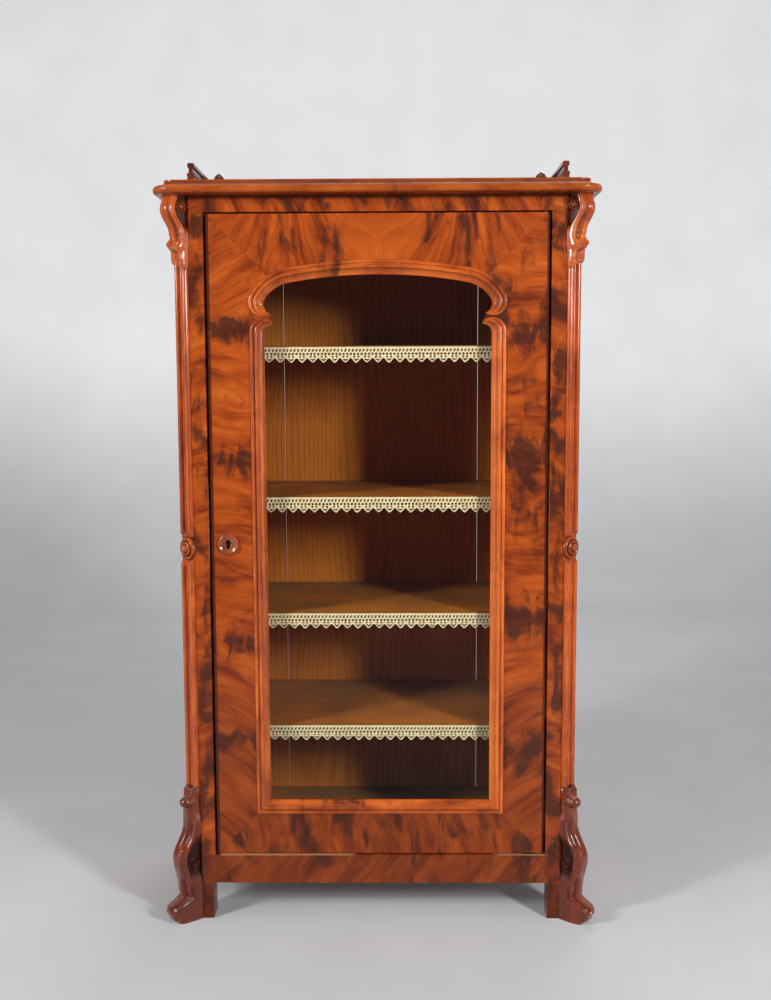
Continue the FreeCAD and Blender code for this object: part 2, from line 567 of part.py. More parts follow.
MITRE_RUN = "(2 * Sizes.gallery_foot_width * sqrt(0.5))"
SIDE_MITRES = {
    "left": (135, f"2 * {MITRE_RUN} - {HALF_WIDTH}", "Sizes.carcase_depth"),
    "right": (45, f"{HALF_WIDTH} - {MITRE_RUN}", f"Sizes.carcase_depth - {MITRE_RUN}")}
for side, sign in SIDES:
    rail = body(f"gallery_{side}_blank")
    section = sketch(rail, "XZ_Plane", f"gallery_{side}_section")
    rail_section(section, f"{sign} * ({HALF_WIDTH} - Sizes.gallery_foot_width / 2)",
                 "Sizes.gallery_rail_height")
    pad(rail, section, "Sizes.carcase_depth - Sizes.gallery_front_distance", "-Sizes.carcase_depth")
    piece(f"gallery_{side}_rail", less(f"gallery_{side}_rail", rail, [
        mitre_waste(f"gallery_{side}_mitre", *SIDE_MITRES[side])]))

    post_x = f"{sign} * ({HALF_WIDTH} - Sizes.gallery_foot_width - Sizes.gallery_stem / 2)"
    post_y = f"{FRONT} + Sizes.carcase_depth - Sizes.gallery_foot_width - Sizes.gallery_stem / 2"
    cap_level = f"{TOP_SURFACE} + Sizes.gallery_post_height - Sizes.gallery_knob_rise"
    stem = rod(f"{side}_stem", "Sizes.gallery_stem / 2",
               "Sizes.gallery_post_height - Sizes.gallery_knob_rise", post_x, post_y, TOP_SURFACE)
    dome = doc.addObject("Part::Ellipsoid", f"{side}_dome")
    dome.setExpression("Radius1", "Sizes.gallery_knob_rise")
    dome.setExpression("Radius2", "Sizes.gallery_knob / 2")
    dome.setExpression("Radius3", "Sizes.gallery_knob / 2")
    dome.Angle1 = 0
    dome.setExpression("Placement.Base.x", post_x)
    dome.setExpression("Placement.Base.y", post_y)
    dome.setExpression("Placement.Base.z", cap_level)
    piece(f"gallery_{side}_post", joined(f"gallery_{side}_post", [stem, dome]))

back_rail = body("gallery_back_blank")
section = sketch(back_rail, "YZ_Plane", "gallery_back_section")
rail_section(section, "(Sizes.carcase_depth - Sizes.gallery_foot_width / 2)", "Sizes.gallery_back_height")
pad(back_rail, section, "Sizes.carcase_width", f"-{HALF_WIDTH}")
piece("gallery_back_rail", less("gallery_back_rail", back_rail, [
    mitre_waste("gallery_back_left_mitre", 135, f"{MITRE_RUN} - {HALF_WIDTH}",
                f"Sizes.carcase_depth - {MITRE_RUN}"),
    mitre_waste("gallery_back_right_mitre", 45, HALF_WIDTH,
                f"Sizes.carcase_depth - 2 * {MITRE_RUN}")]))

# Door stop behind the lock side, and the strike plate let into the left post.
STOP_FRONT = f"({DOOR_BACK} + Sizes.stop_clearance)"
piece("door_stop", block(
    "door_stop", (f"-{HALF_OPENING}", f"Sizes.stop_width - {HALF_OPENING}"),
    (STOP_FRONT, f"{STOP_FRONT} + Sizes.stop_depth"), (OPENING_BOTTOM, OPENING_TOP)))
strike = block("strike", (f"-({HALF_OPENING} + Sizes.strike_thickness)", f"-{HALF_OPENING}"),
               (f"{BOLT_MIDDLE} - Sizes.strike_width / 2", f"{BOLT_MIDDLE} + Sizes.strike_width / 2"),
               (f"{BOLT_Z} - Sizes.strike_height / 2", f"{BOLT_Z} + Sizes.strike_height / 2"))
strike_hole = block("strike_hole",
                    (f"-({HALF_OPENING} + Sizes.strike_thickness + 1)", f"1 - {HALF_OPENING}"),
                    (f"{BOLT_MIDDLE} - {bolt_room}", f"{BOLT_MIDDLE} + {bolt_room}"),
                    (f"{BOLT_Z} - {bolt_headroom}", f"{BOLT_Z} + {bolt_headroom}"))
piece("strike_plate", less("strike_plate", strike, [strike_hole]))


# Line of the glass moulding, on the right half, in the plane of the door.
# Angles of the arch turn clockwise from upright, those of the lower curl anticlockwise from level.
def around(centre, radius, degrees):
    turn = math.radians(degrees)
    return (centre[0] + radius * math.sin(turn), centre[1] + radius * math.cos(turn))


crown_angle = value("Sizes.crown_angle")
shoulder_radius = value("Sizes.shoulder_radius")
shoulder_angle = value("Sizes.shoulder_angle")
shoulder_inner_angle = value("Sizes.shoulder_inner_angle")
lobe_radius = value("Sizes.lobe_radius")
lobe_inner_radius = value("Sizes.lobe_inner_radius")
moulding_width = value("Sizes.moulding_width")
frame_half = value(FRAME_HALF)
frame_bottom = value(FRAME_BOTTOM)
crown = value(CROWN)
curl_radius = value("Sizes.curl_radius")
curl_inner_radius = value("Sizes.curl_inner_radius")

lobe_x = frame_half + value("Sizes.lobe_bulge") - lobe_radius
lobe_offset = (shoulder_radius - lobe_radius) * math.sin(math.radians(shoulder_angle))
shoulder_x = lobe_x - lobe_offset
crown_radius = shoulder_radius + shoulder_x / math.sin(math.radians(crown_angle))
crown_centre = (0, crown - crown_radius)
shoulder_centre = around(crown_centre, crown_radius - shoulder_radius, crown_angle)
lobe_centre = around(shoulder_centre, shoulder_radius - lobe_radius, shoulder_angle)
inner_shoulder_radius = shoulder_radius - moulding_width
lobe_inner_centre = around(shoulder_centre, inner_shoulder_radius - lobe_inner_radius, shoulder_inner_angle)
curl_centre = (frame_half - curl_radius, lobe_centre[1] - value("Sizes.curl_drop"))
sight_half = frame_half - moulding_width
curl_inner_centre = (sight_half - curl_inner_radius, curl_centre[1] - value("Sizes.curl_inner_drop"))
door_face = value(f"{FRONT} + {DOOR_FACE}")


def in_door(point, depth=0.0):
    return FreeCAD.Vector(point[0], door_face + depth, point[1])


def mirrored(point):
    return (-point[0], point[1])


def arc_edge(centre, radius, start, end, flip, depth):
    spots = [around(centre, radius, start + (end - start) * part) for part in (0, 0.5, 1)]
    if flip:
        spots = [mirrored(spot) for spot in reversed(spots)]
    return Part.Arc(*[in_door(spot, depth) for spot in spots]).toShape()


def frame_outline(depth):
    """Outer line of the moulding: the shape that is cut through the front lip of the door frame."""
    lobe_end = value("Sizes.lobe_end_angle")
    curl_stop = 90 - value("Sizes.curl_end_angle")
    lobe_tip = around(lobe_centre, lobe_radius, lobe_end)
    curl_tip = around(curl_centre, curl_radius, curl_stop)
    curl_foot = (frame_half, curl_centre[1])
    sill_end = (frame_half, frame_bottom)

    def line(start, end):
        return Part.makeLine(in_door(start, depth), in_door(end, depth))

    right = [
        arc_edge(shoulder_centre, shoulder_radius, crown_angle, shoulder_angle, False, depth),
        arc_edge(lobe_centre, lobe_radius, shoulder_angle, lobe_end, False, depth),
        line(lobe_tip, curl_tip),
        arc_edge(curl_centre, curl_radius, curl_stop, 90, False, depth),
        line(curl_foot, sill_end)]
    left = [
        line(mirrored(sill_end), mirrored(curl_foot)),
        arc_edge(curl_centre, curl_radius, curl_stop, 90, True, depth),
        line(mirrored(curl_tip), mirrored(lobe_tip)),
        arc_edge(lobe_centre, lobe_radius, shoulder_angle, lobe_end, True, depth),
        arc_edge(shoulder_centre, shoulder_radius, crown_angle, shoulder_angle, True, depth)]
    sill = line(sill_end, mirrored(sill_end))
    head = arc_edge(crown_centre, crown_radius, -crown_angle, crown_angle, False, depth)
    return Part.Wire([head] + right + [sill] + left)


def moulding_section(outer, inner):
    """Bead, ovolo, cavetto and sight fillet between an outer and an inner point of the line."""
    back = value("Sizes.lip_depth")
    slender = min(1, math.dist(outer, inner) / moulding_width)
    bead = value("Sizes.bead_proud") * slender
    ovolo = value("Sizes.ovolo_proud") * slender
    drop = value("Sizes.sight_drop") * slender

    def at(share, proud):
        x = outer[0] + (inner[0] - outer[0]) * share
        z = outer[1] + (inner[1] - outer[1]) * share
        return FreeCAD.Vector(x, door_face - proud, z)

    return Part.Wire([
        Part.makeLine(at(0, -back), at(0, 0)),
        Part.Arc(at(0, 0), at(0.13, bead), at(0.26, bead * 0.2)).toShape(),
        Part.Arc(at(0.26, bead * 0.2), at(0.43, ovolo), at(0.6, 0)).toShape(),
        Part.Arc(at(0.6, 0), at(0.74, -drop * 0.72), at(0.93, -drop)).toShape(),
        Part.makeLine(at(0.93, -drop), at(1, -drop)),
        Part.makeLine(at(1, -drop), at(1, -back)),
        Part.makeLine(at(1, -back), at(0, -back))])


def steps(total, count):
    return [total * index / count for index in range(count + 1)]


def arch_stations():
    """Pairs of outer and inner points from the crown down to the right-hand cusp."""
    lobe_turn = value("Sizes.lobe_end_angle") - shoulder_angle
    lobe_inner_turn = value("Sizes.lobe_inner_end_angle") - shoulder_inner_angle
    pairs = []
    for degrees in steps(crown_angle, 4):
        pairs.append((around(crown_centre, crown_radius, degrees),
                      around(crown_centre, crown_radius - moulding_width, degrees)))
    for part in steps(1, 8)[1:]:
        outer_angle = crown_angle + (shoulder_angle - crown_angle) * part
        inner_angle = crown_angle + (shoulder_inner_angle - crown_angle) * part
        pairs.append((around(shoulder_centre, shoulder_radius, outer_angle),
                      around(shoulder_centre, inner_shoulder_radius, inner_angle)))
    for part in steps(1, 12)[1:]:
        outer_angle = shoulder_angle + lobe_turn * part
        inner_angle = shoulder_inner_angle + lobe_inner_turn * part
        pairs.append((around(lobe_centre, lobe_radius, outer_angle),
                      around(lobe_inner_centre, lobe_inner_radius, inner_angle)))
    return pairs


def curl_stations():
    """Pairs of outer and inner points from the top of the upright moulding round its curl."""
    turn = value("Sizes.curl_end_angle")
    inner_turn = value("Sizes.curl_inner_end_angle")
    return [(around(curl_centre, curl_radius, 90 - turn * part),
             around(curl_inner_centre, curl_inner_radius, 90 - inner_turn * part))
            for part in steps(1, 10)]


def shaped(name, shape):
    feature = doc.addObject("Part::Feature", name)
    feature.Shape = shape
    return feature


# Glass moulding: one piece over the arch, one up each side with its curl, one along the bottom.
def moulding_run(pairs):
    return Part.makeLoft([moulding_section(*pair) for pair in pairs], True, True)


half_arch = arch_stations()
other_half = [tuple(mirrored(point) for point in pair) for pair in reversed(half_arch[1:])]
piece("arch_moulding", shaped("arch_moulding", moulding_run(other_half + half_arch)))
corner = ((frame_half, frame_bottom), (sight_half, frame_bottom + moulding_width))
upright_run = moulding_run([corner] + curl_stations())
piece("right_glass_moulding", shaped("right_glass_moulding", upright_run))
middle_plane = (FreeCAD.Vector(0, 0, 0), FreeCAD.Vector(1, 0, 0))
piece("left_glass_moulding", shaped("left_glass_moulding", upright_run.mirror(*middle_plane)))
sill_run = moulding_run([tuple(mirrored(point) for point in corner), corner])
piece("bottom_glass_moulding", shaped("bottom_glass_moulding", sill_run))

# Door frame: stiles and rails, cut by the moulding's outline in front and by the glass rebate behind.
overcut = 5
lip_cut = Part.Face(frame_outline(-overcut)).extrude(
    FreeCAD.Vector(0, value("Sizes.lip_depth") + overcut, 0))


def frame_tools(name):
    return [
        shaped(f"{name}_lip_cut", lip_cut),
        block(f"{name}_rebate_cut", (f"-{REBATE_HALF}", REBATE_HALF), (GLASS_FACE, f"{DOOR_BACK} + 1"),
              (REBATE_BOTTOM, REBATE_TOP))]


STILE_INNER = f"({DOOR_HALF} - Sizes.door_stile_width)"
DOOR_DEPTH = (DOOR_FACE, DOOR_BACK)
DOOR_RISE = (DOOR_BOTTOM, DOOR_TOP)
CASE_X = (f"-{DOOR_HALF}", f"Sizes.lock_width - {DOOR_HALF}")
CASE_Y = (f"{DOOR_BACK} - Sizes.lock_case_depth", DOOR_BACK)
CASE_Z = ("Sizes.lock_height - Sizes.lock_case_height / 2", "Sizes.lock_height + Sizes.lock_case_height / 2")


def keyhole(name, front, back):
    """Upright slot with round ends, from one depth to another."""
    turn = FreeCAD.Rotation(FreeCAD.Vector(1, 0, 0), -90)
    half = "(Sizes.keyhole_width / 2)"
    reach = f"(Sizes.keyhole_height / 2 - {half})"
    slot = block(f"{name}_slot", (f"{KEY_X} - {half}", f"{KEY_X} + {half}"), (front, back),
                 (f"Sizes.lock_height - {reach}", f"Sizes.lock_height + {reach}"))
    ends = []
    for end, direction in (("low", -1), ("high", 1)):
        ends.append(rod(f"{name}_{end}", half, f"({back}) - ({front})", KEY_X,
                        f"{FRONT} + {front}", f"Sizes.lock_height + {direction} * {reach}", turn))
    return joined(name, [slot] + ends)


lock_blank = block("lock_stile_blank", (f"-{DOOR_HALF}", f"-{STILE_INNER}"), DOOR_DEPTH, DOOR_RISE)
piece("door_lock_stile", less("door_lock_stile", lock_blank, frame_tools("lock_stile") + [
    block("lock_seat", CASE_X, CASE_Y, CASE_Z),
    keyhole("stile_keyhole", f"({DOOR_FACE} - 1)", f"({DOOR_BACK} - 1)")]))

pin_room = "(Sizes.hinge_pin_radius + 1)"
hinge_blank = block("hinge_stile_blank", (STILE_INNER, DOOR_HALF), DOOR_DEPTH, DOOR_RISE)
piece("door_hinge_stile", less("door_hinge_stile", hinge_blank, frame_tools("hinge_stile") + [
    block("upper_leaf_seat", HINGE_X, HINGE_Y, UPPER_LEAF),
    block("lower_leaf_seat", HINGE_X, HINGE_Y, LOWER_LEAF),
    rod("upper_pin_room", pin_room, "Sizes.hinge_pin_depth + 1", PIVOT_X, PIN_Y,
        f"{DOOR_TOP} - Sizes.hinge_pin_depth - 1"),
    rod("lower_pin_room", pin_room, "Sizes.hinge_pin_depth + 1", PIVOT_X, PIN_Y, DOOR_BOTTOM)]))

lobe_level = str(lobe_centre[1] + lobe_radius / 2)
RAIL_X = (f"-{STILE_INNER}", STILE_INNER)
top_blank = block("top_rail_blank", RAIL_X, DOOR_DEPTH, (lobe_level, DOOR_TOP))
piece("door_top_rail", less("door_top_rail", top_blank, frame_tools("top_rail")))
bottom_blank = block("bottom_rail_blank", RAIL_X, DOOR_DEPTH, (DOOR_BOTTOM, FRAME_BOTTOM))
piece("door_bottom_rail", less("door_bottom_rail", bottom_blank, frame_tools("bottom_rail")))

# Pane in the rebate, held from behind by four battens.
PANE_X = (f"Sizes.glass_clearance - {REBATE_HALF}", f"{REBATE_HALF} - Sizes.glass_clearance")
PANE_Z = (f"{REBATE_BOTTOM} + Sizes.glass_clearance", f"{REBATE_TOP} - Sizes.glass_clearance")
piece("glass_pane", block("glass_pane", PANE_X, (GLASS_FACE, GLASS_BACK), PANE_Z))
BEAD_Y = (GLASS_BACK, f"{GLASS_BACK} + Sizes.glazing_bead_depth")
BEAD_INNER = f"({REBATE_HALF} - Sizes.glazing_bead_width)"
beads = [
    block("bead_left", (f"-{REBATE_HALF}", f"-{BEAD_INNER}"), BEAD_Y, (REBATE_BOTTOM, REBATE_TOP)),
    block("bead_right", (BEAD_INNER, REBATE_HALF), BEAD_Y, (REBATE_BOTTOM, REBATE_TOP)),
    block("bead_bottom", (f"-{BEAD_INNER}", BEAD_INNER), BEAD_Y,
          (REBATE_BOTTOM, f"{REBATE_BOTTOM} + Sizes.glazing_bead_width")),
    block("bead_top", (f"-{BEAD_INNER}", BEAD_INNER), BEAD_Y,
          (f"{REBATE_TOP} - Sizes.glazing_bead_width", REBATE_TOP))]
bead_frame = doc.addObject("Part::Compound", "glazing_beads")
bead_frame.Links = beads
piece("glazing_beads", bead_frame)

# Box lock let into the back of the left stile, its sliding bolt, and the turned keyhole ring.
case = block("case", CASE_X, CASE_Y, CASE_Z)
bolt_way = block("bolt_way", (f"-{DOOR_HALF} - 1", f"Sizes.bolt_length + 1 - {DOOR_HALF}"),
                 (f"{BOLT_MIDDLE} - {bolt_room}", f"{BOLT_MIDDLE} + {bolt_room}"),
                 (f"{BOLT_Z} - {bolt_headroom}", f"{BOLT_Z} + {bolt_headroom}"))
piece("lock_case", less("lock_case", case, [
    bolt_way, keyhole("case_keyhole", f"({CASE_Y[0]} - 1)", f"({DOOR_BACK} - Sizes.lock_wall)")]))
piece("lock_bolt", block(
    "lock_bolt", (f"-{DOOR_HALF}", f"Sizes.bolt_length - {DOOR_HALF}"),
    (f"{BOLT_MIDDLE} - Sizes.bolt_thickness / 2", f"{BOLT_MIDDLE} + Sizes.bolt_thickness / 2"),
    (f"{BOLT_Z} - Sizes.bolt_height / 2", f"{BOLT_Z} + Sizes.bolt_height / 2")))

facing = FreeCAD.Rotation(FreeCAD.Vector(1, 0, 0), 90)
ring_y = f"{FRONT} + {DOOR_FACE}"
dish = rod("escutcheon_dish", "Sizes.escutcheon_diameter / 2", "Sizes.escutcheon_plate",
           KEY_X, ring_y, "Sizes.lock_height", facing)
rim = doc.addObject("Part::Torus", "escutcheon_rim_ring")
rim.Placement.Rotation = facing
rim.setExpression("Radius1", "Sizes.escutcheon_diameter / 2 - Sizes.escutcheon_rim")
rim.setExpression("Radius2", "Sizes.escutcheon_rim")
rim.setExpression("Placement.Base.x", KEY_X)
rim.setExpression("Placement.Base.y", f"{ring_y} - Sizes.escutcheon_rim")
rim.setExpression("Placement.Base.z", "Sizes.lock_height")
piece("escutcheon", less("escutcheon", joined("escutcheon_ring", [dish, rim]), [
    keyhole("ring_keyhole", f"({DOOR_FACE} - 12)", f"({DOOR_FACE} + 1)")]))


# Trim on the canted corners. It is built upright with the cant's face at y = 0, then turned 45 degrees.
def on_cant(feature, sign, height=None):
    feature.Placement.Rotation = FreeCAD.Rotation(FreeCAD.Vector(0, 0, 1), 45 * sign)
    feature.setExpression("Placement.Base.x", f"{sign} * {CANT_X}")
    feature.setExpression("Placement.Base.y", CANT_Y)
    if height:
        feature.setExpression("Placement.Base.z", height)
    return feature


def turned(name, kind, sizes, out):
    solid = doc.addObject(kind, name)
    solid.Placement.Rotation = facing
    for key, expression in sizes.items():
        solid.setExpression(key, expression)
    solid.setExpression("Placement.Base.y", f"-({out})")
    return solid


def reeded_strip(name, height):
    ground = doc.addObject("Part::Box", f"{name}_ground")
    ground.setExpression("Length", "Sizes.strip_width")
    ground.setExpression("Width", "Sizes.strip_base")
    ground.setExpression("Height", height)
    ground.setExpression("Placement.Base.x", "-Sizes.strip_width / 2")
    ground.setExpression("Placement.Base.y", "-Sizes.strip_base")
    solids = [ground]
    outer = "(Sizes.strip_width / 2 - Sizes.outer_reed)"
    half_turn = FreeCAD.Rotation(FreeCAD.Vector(0, 0, 1), 180)
    reeds = (
        ("left", "outer_reed", f"-{outer}"),
        ("middle", "middle_reed", "0"),
        ("right", "outer_reed", outer))
    for reed, radius, x in reeds:
        half_round = rod(f"{name}_{reed}_reed", f"Sizes.{radius}", height, x,
                         "-Sizes.strip_base", "0", half_turn)
        half_round.Angle = 180
        solids.append(half_round)
    return joined(name, solids)


def smooth_reach(stations, height):
    """Depth of a carving at a height, easing from each hollow to the next swell."""
    for low, high in zip(stations, stations[1:]):
        if height <= high[0]:
            ease = (1 - math.cos(math.pi * (height - low[0]) / (high[0] - low[0]))) / 2
            return [start + (end - start) * ease for start, end in zip(low[1:], high[1:])]
    return stations[-1][1:]


def scroll_section(height, reach, hollow, half):
    """Plan of a carving: flat back and sides, and a front with two ridges and a hollow between them."""
    front = [(-1.0, 0.45), (-0.94, 0.86), (-0.62, 1.0), (0.0, None), (0.62, 1.0), (0.94, 0.86), (1.0, 0.45)]
    spots = []
    for across, share in front:
        depth = reach - hollow if share is None else reach * share
        spots.append(FreeCAD.Vector(half * across, -depth, height))
    curve = Part.BSplineCurve()
    curve.interpolate(spots)
    left_back = FreeCAD.Vector(-half, 0, height)
    right_back = FreeCAD.Vector(half, 0, height)
    return Part.Wire([Part.makeLine(left_back, spots[0]), curve.toShape(),
                      Part.makeLine(spots[-1], right_back), Part.makeLine(right_back, left_back)])


def carving(stations, half):
    total = stations[-1][0]
    heights = steps(total, round(total / value("Sizes.carving_step")))
    sections = [scroll_section(height, *smooth_reach(stations, height), half) for height in heights]
    return Part.makeLoft(sections, True, True)


def stations_of(total, marks):
    return [(total * share, value(f"Sizes.{name}"), value("Sizes.channel_depth") * hollow)
            for share, name, hollow in marks]


scroll_half = value("Sizes.scroll_width / 2")
foot_shape = carving(stations_of(value("Sizes.scroll_foot_height"), (
    (0.0, "sole_reach", 0.4), (0.09, "toe_reach", 0.6), (0.215, "ankle_reach", 1.0),
    (0.45, "knee_reach", 0.6), (0.765, "foot_neck_reach", 0.5), (0.86, "knob_reach", 0.0),
    (0.925, "scroll_end_reach", 0.2), (1.0, "scroll_end_reach", 0.0))), scroll_half)
console_shape = carving(stations_of(value("Sizes.console_height"), (
    (0.0, "scroll_end_reach", 0.0), (0.24, "console_neck_reach", 0.3), (0.335, "lip_reach", 0.0),
    (0.445, "waist_reach", 0.7), (0.86, "brow_reach", 1.0), (1.0, "console_top_reach", 1.0))), scroll_half)

CONSOLE_FOOT = f"({CARCASE_TOP} - Sizes.console_height)"
ROSETTE_ROOM = "(Sizes.rosette_diameter / 2 + Sizes.rosette_space)"
for side, sign in SIDES:
    foot = shaped(f"{side}_scroll_foot", foot_shape)
    piece(f"{side}_scroll_foot", on_cant(foot, sign))
    console = shaped(f"{side}_console", console_shape)
    piece(f"{side}_console", on_cant(console, sign, CONSOLE_FOOT))

    upper_length = f"{CONSOLE_FOOT} - Sizes.rosette_height - {ROSETTE_ROOM}"
    upper = reeded_strip(f"{side}_upper_strip", upper_length)
    piece(f"{side}_upper_strip", on_cant(upper, sign, f"Sizes.rosette_height + {ROSETTE_ROOM}"))
    lower_length = f"Sizes.rosette_height - {ROSETTE_ROOM} - Sizes.scroll_foot_height"
    lower = reeded_strip(f"{side}_lower_strip", lower_length)
    piece(f"{side}_lower_strip", on_cant(lower, sign, "Sizes.scroll_foot_height"))

    flange = turned(f"{side}_flange", "Part::Cylinder", {
        "Radius": "Sizes.rosette_diameter / 2", "Height": "Sizes.rosette_flange"}, "0")
    outer_ring = turned(f"{side}_outer_ring", "Part::Torus", {
        "Radius1": "Sizes.rosette_diameter / 2 - Sizes.rosette_ring - 2",
        "Radius2": "Sizes.rosette_ring"}, "Sizes.rosette_flange")
    boss = turned(f"{side}_boss", "Part::Ellipsoid", {
        "Radius1": "Sizes.rosette_flange + Sizes.rosette_ring",
        "Radius2": "Sizes.rosette_boss", "Radius3": "Sizes.rosette_boss"}, "Sizes.rosette_flange")
    boss.Angle1 = 0
    rosette = joined(f"{side}_rosette", [flange, outer_ring, boss])
    piece(f"{side}_rosette", on_cant(rosette, sign, "Sizes.rosette_height"))

doc.recompute()

# Every feature has to be up to date and every piece a valid solid before anything is written.
for feature in doc.Objects:
    if "Invalid" in feature.State or "Error" in feature.State:
        raise RuntimeError(f"{feature.Label} failed: {feature.State}")
for feature in pieces:
    if feature.Shape.isNull() or not feature.Shape.isValid() or not feature.Shape.Solids:
        raise RuntimeError(f"{feature.Label} is not a valid solid")

os.makedirs("parts", exist_ok=True)
for feature in pieces:
    feature.Shape.exportStep(f"parts/{feature.Label}.step")
print(len(pieces), "pieces written")
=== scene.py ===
import math
import random

import bmesh
import bpy
from mathutils import Matrix, Vector


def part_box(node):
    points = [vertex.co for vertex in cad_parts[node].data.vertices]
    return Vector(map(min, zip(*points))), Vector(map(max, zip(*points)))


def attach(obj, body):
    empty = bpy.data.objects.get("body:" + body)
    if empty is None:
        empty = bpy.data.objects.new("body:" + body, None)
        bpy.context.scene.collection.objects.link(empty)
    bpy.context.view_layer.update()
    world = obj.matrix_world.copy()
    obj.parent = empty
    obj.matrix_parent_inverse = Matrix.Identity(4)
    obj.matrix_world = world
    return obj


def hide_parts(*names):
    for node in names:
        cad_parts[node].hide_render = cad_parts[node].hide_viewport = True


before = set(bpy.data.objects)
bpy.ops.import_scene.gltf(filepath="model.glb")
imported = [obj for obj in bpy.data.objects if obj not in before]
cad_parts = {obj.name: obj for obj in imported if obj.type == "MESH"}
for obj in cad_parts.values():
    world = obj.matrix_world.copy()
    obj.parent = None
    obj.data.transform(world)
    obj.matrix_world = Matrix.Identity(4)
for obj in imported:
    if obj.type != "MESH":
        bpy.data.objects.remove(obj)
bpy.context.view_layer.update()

# Carcase: side boards, corner posts and the rails above and below the door.
# Softwood veneered with figured mahogany and polished with shellac; the posts run down behind the feet
# and the rails are let into them. Arrises are eased and worn pale where hands and cloths have rubbed; along
# the base rail's top arris and the posts' inner edges the pale line is also a painted highlight, and a
# painted shadow lies along the frieze and the posts under the moulded top.
FRIEZE_LOW, FRIEZE_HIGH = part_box("frieze_rail")
BASE_LOW, BASE_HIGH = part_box("base_rail")
POST_LOW, POST_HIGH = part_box("right_corner_post")
FRONT = FRIEZE_LOW.y
POST_EDGE = POST_LOW.x
POST_FACE = BASE_HIGH.x
SIDE_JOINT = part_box("left_side")[0].y
# Band just under the moulded top that is painted dark as the shadow of its overhang.
SHADOW_UNDER_TOP = (FRIEZE_HIGH.z - 0.010, FRIEZE_HIGH.z - 0.002)
FRIEZE_LEAN_FROM = 1.59
BASE_LEAN_FROM = 0.1


def colour(red, green, blue):
    """A colour from a tone card, each part from 0 to 255."""
    parts = [part / 255 for part in (red, green, blue)]
    return tuple(p / 12.92 if p < 0.04045 else ((p + 0.055) / 1.055) ** 2.4 for p in parts) + (1.0,)


def tone_card(*tints, places=(0.30, 0.42, 0.52, 0.63, 0.75)):
    """Tones of a finish in order, each at its place along the pattern that it is laid out by."""
    return [(place, colour(*tint)) for place, tint in zip(places, tints)]


class Grade:
    """A number that varies over a surface, so that a pattern can be written out as a sum."""

    def __init__(self, tree, socket):
        self.tree = tree
        self.socket = socket

    def by(self, operation, *terms, clamp=False):
        step = self.tree.nodes.new("ShaderNodeMath")
        step.operation = operation
        step.use_clamp = clamp
        for place, term in zip(step.inputs, (self,) + terms):
            feed(self.tree, place, term)
        return Grade(self.tree, step.outputs[0])

    def __add__(self, other):
        return self.by("ADD", other)

    def __sub__(self, other):
        return self.by("SUBTRACT", other)

    def __mul__(self, other):
        return self.by("MULTIPLY", other)

    def even(self, level):
        """The same level all over the surface."""
        return self * 0.0 + level

    def rise(self, low, high):
        """0 below low, 1 above high and a smooth step between."""
        step = self.tree.nodes.new("ShaderNodeMapRange")
        step.interpolation_type = "SMOOTHSTEP"
        feed(self.tree, step.inputs["Value"], self)
        step.inputs["From Min"].default_value = low
        step.inputs["From Max"].default_value = high
        return Grade(self.tree, step.outputs[0])

    def near(self, place, reach):
        """1 at a place, falling to 0 a reach away on either side."""
        return ((self - place).by("ABSOLUTE") * (-1 / reach)).by("ADD", 1.0, clamp=True)

    def most(self, other):
        return self.by("MAXIMUM", other)

    def along(self, stops):
        """A value read off a rule: stops are rising pairs of place and value, values from 0 to 1."""
        low, high = stops[0][0], stops[-1][0]
        share = (self - low) * (1 / (high - low))
        return Grade(self.tree, tinted(self.tree, share, [
            ((place - low) / (high - low), (level, level, level, 1.0)) for place, level in stops]))


def feed(tree, place, term):
    """Gives a socket a varying number, a colour from another node or a plain value."""
    if isinstance(term, Grade):
        tree.links.new(term.socket, place)
    elif isinstance(term, bpy.types.NodeSocket):
        tree.links.new(term, place)
    else:
        place.default_value = term


def tinted(tree, grade, stops):
    """Colours laid out along a grade."""
    ramp = tree.nodes.new("ShaderNodeValToRGB")
    feed(tree, ramp.inputs[0], grade)
    bands = ramp.color_ramp.elements
    bands[0].position, bands[0].color = stops[0]
    bands[1].position, bands[1].color = stops[-1]
    for place, tone in stops[1:-1]:
        band = bands.new(place)
        band.color = tone
    return ramp.outputs[0]


def over(tree, share, below, above):
    """One colour laid over another by a share that varies."""
    mix = tree.nodes.new("ShaderNodeMix")
    mix.data_type = "RGBA"
    feed(tree, mix.inputs[0], share)
    feed(tree, mix.inputs[6], below)
    feed(tree, mix.inputs[7], above)
    return mix.outputs[2]


def cloud(tree, x, y, z, detail=3.0, rough=0.55, twist=0.0):
    """Soft random mottling, as fine as the stretch given to each direction."""
    place = tree.nodes.new("ShaderNodeCombineXYZ")
    for socket, term in zip(place.inputs, (x, y, z)):
        feed(tree, socket, term)
    noise = tree.nodes.new("ShaderNodeTexNoise")
    tree.links.new(place.outputs[0], noise.inputs["Vector"])
    noise.inputs["Scale"].default_value = 1.0
    noise.inputs["Detail"].default_value = detail
    noise.inputs["Roughness"].default_value = rough
    noise.inputs["Distortion"].default_value = twist
    return Grade(tree, noise.outputs[0])


def new_finish(name):
    """A new surface finish: its material, node tree, shader and the place of a point in metres."""
    made = bpy.data.materials.new(name)
    made.use_nodes = True
    tree = made.node_tree
    spot = tree.nodes.new("ShaderNodeTexCoord")
    split = tree.nodes.new("ShaderNodeSeparateXYZ")
    tree.links.new(spot.outputs["Object"], split.inputs[0])
    place = [Grade(tree, socket) for socket in split.outputs]
    return made, tree, tree.nodes["Principled BSDF"], place


def relief(tree, shader, height, depth):
    """Fine relief of a surface, depth in metres."""
    bump = tree.nodes.new("ShaderNodeBump")
    bump.inputs["Distance"].default_value = depth
    feed(tree, bump.inputs["Height"], height)
    tree.links.new(bump.outputs[0], shader.inputs["Normal"])
    return bump


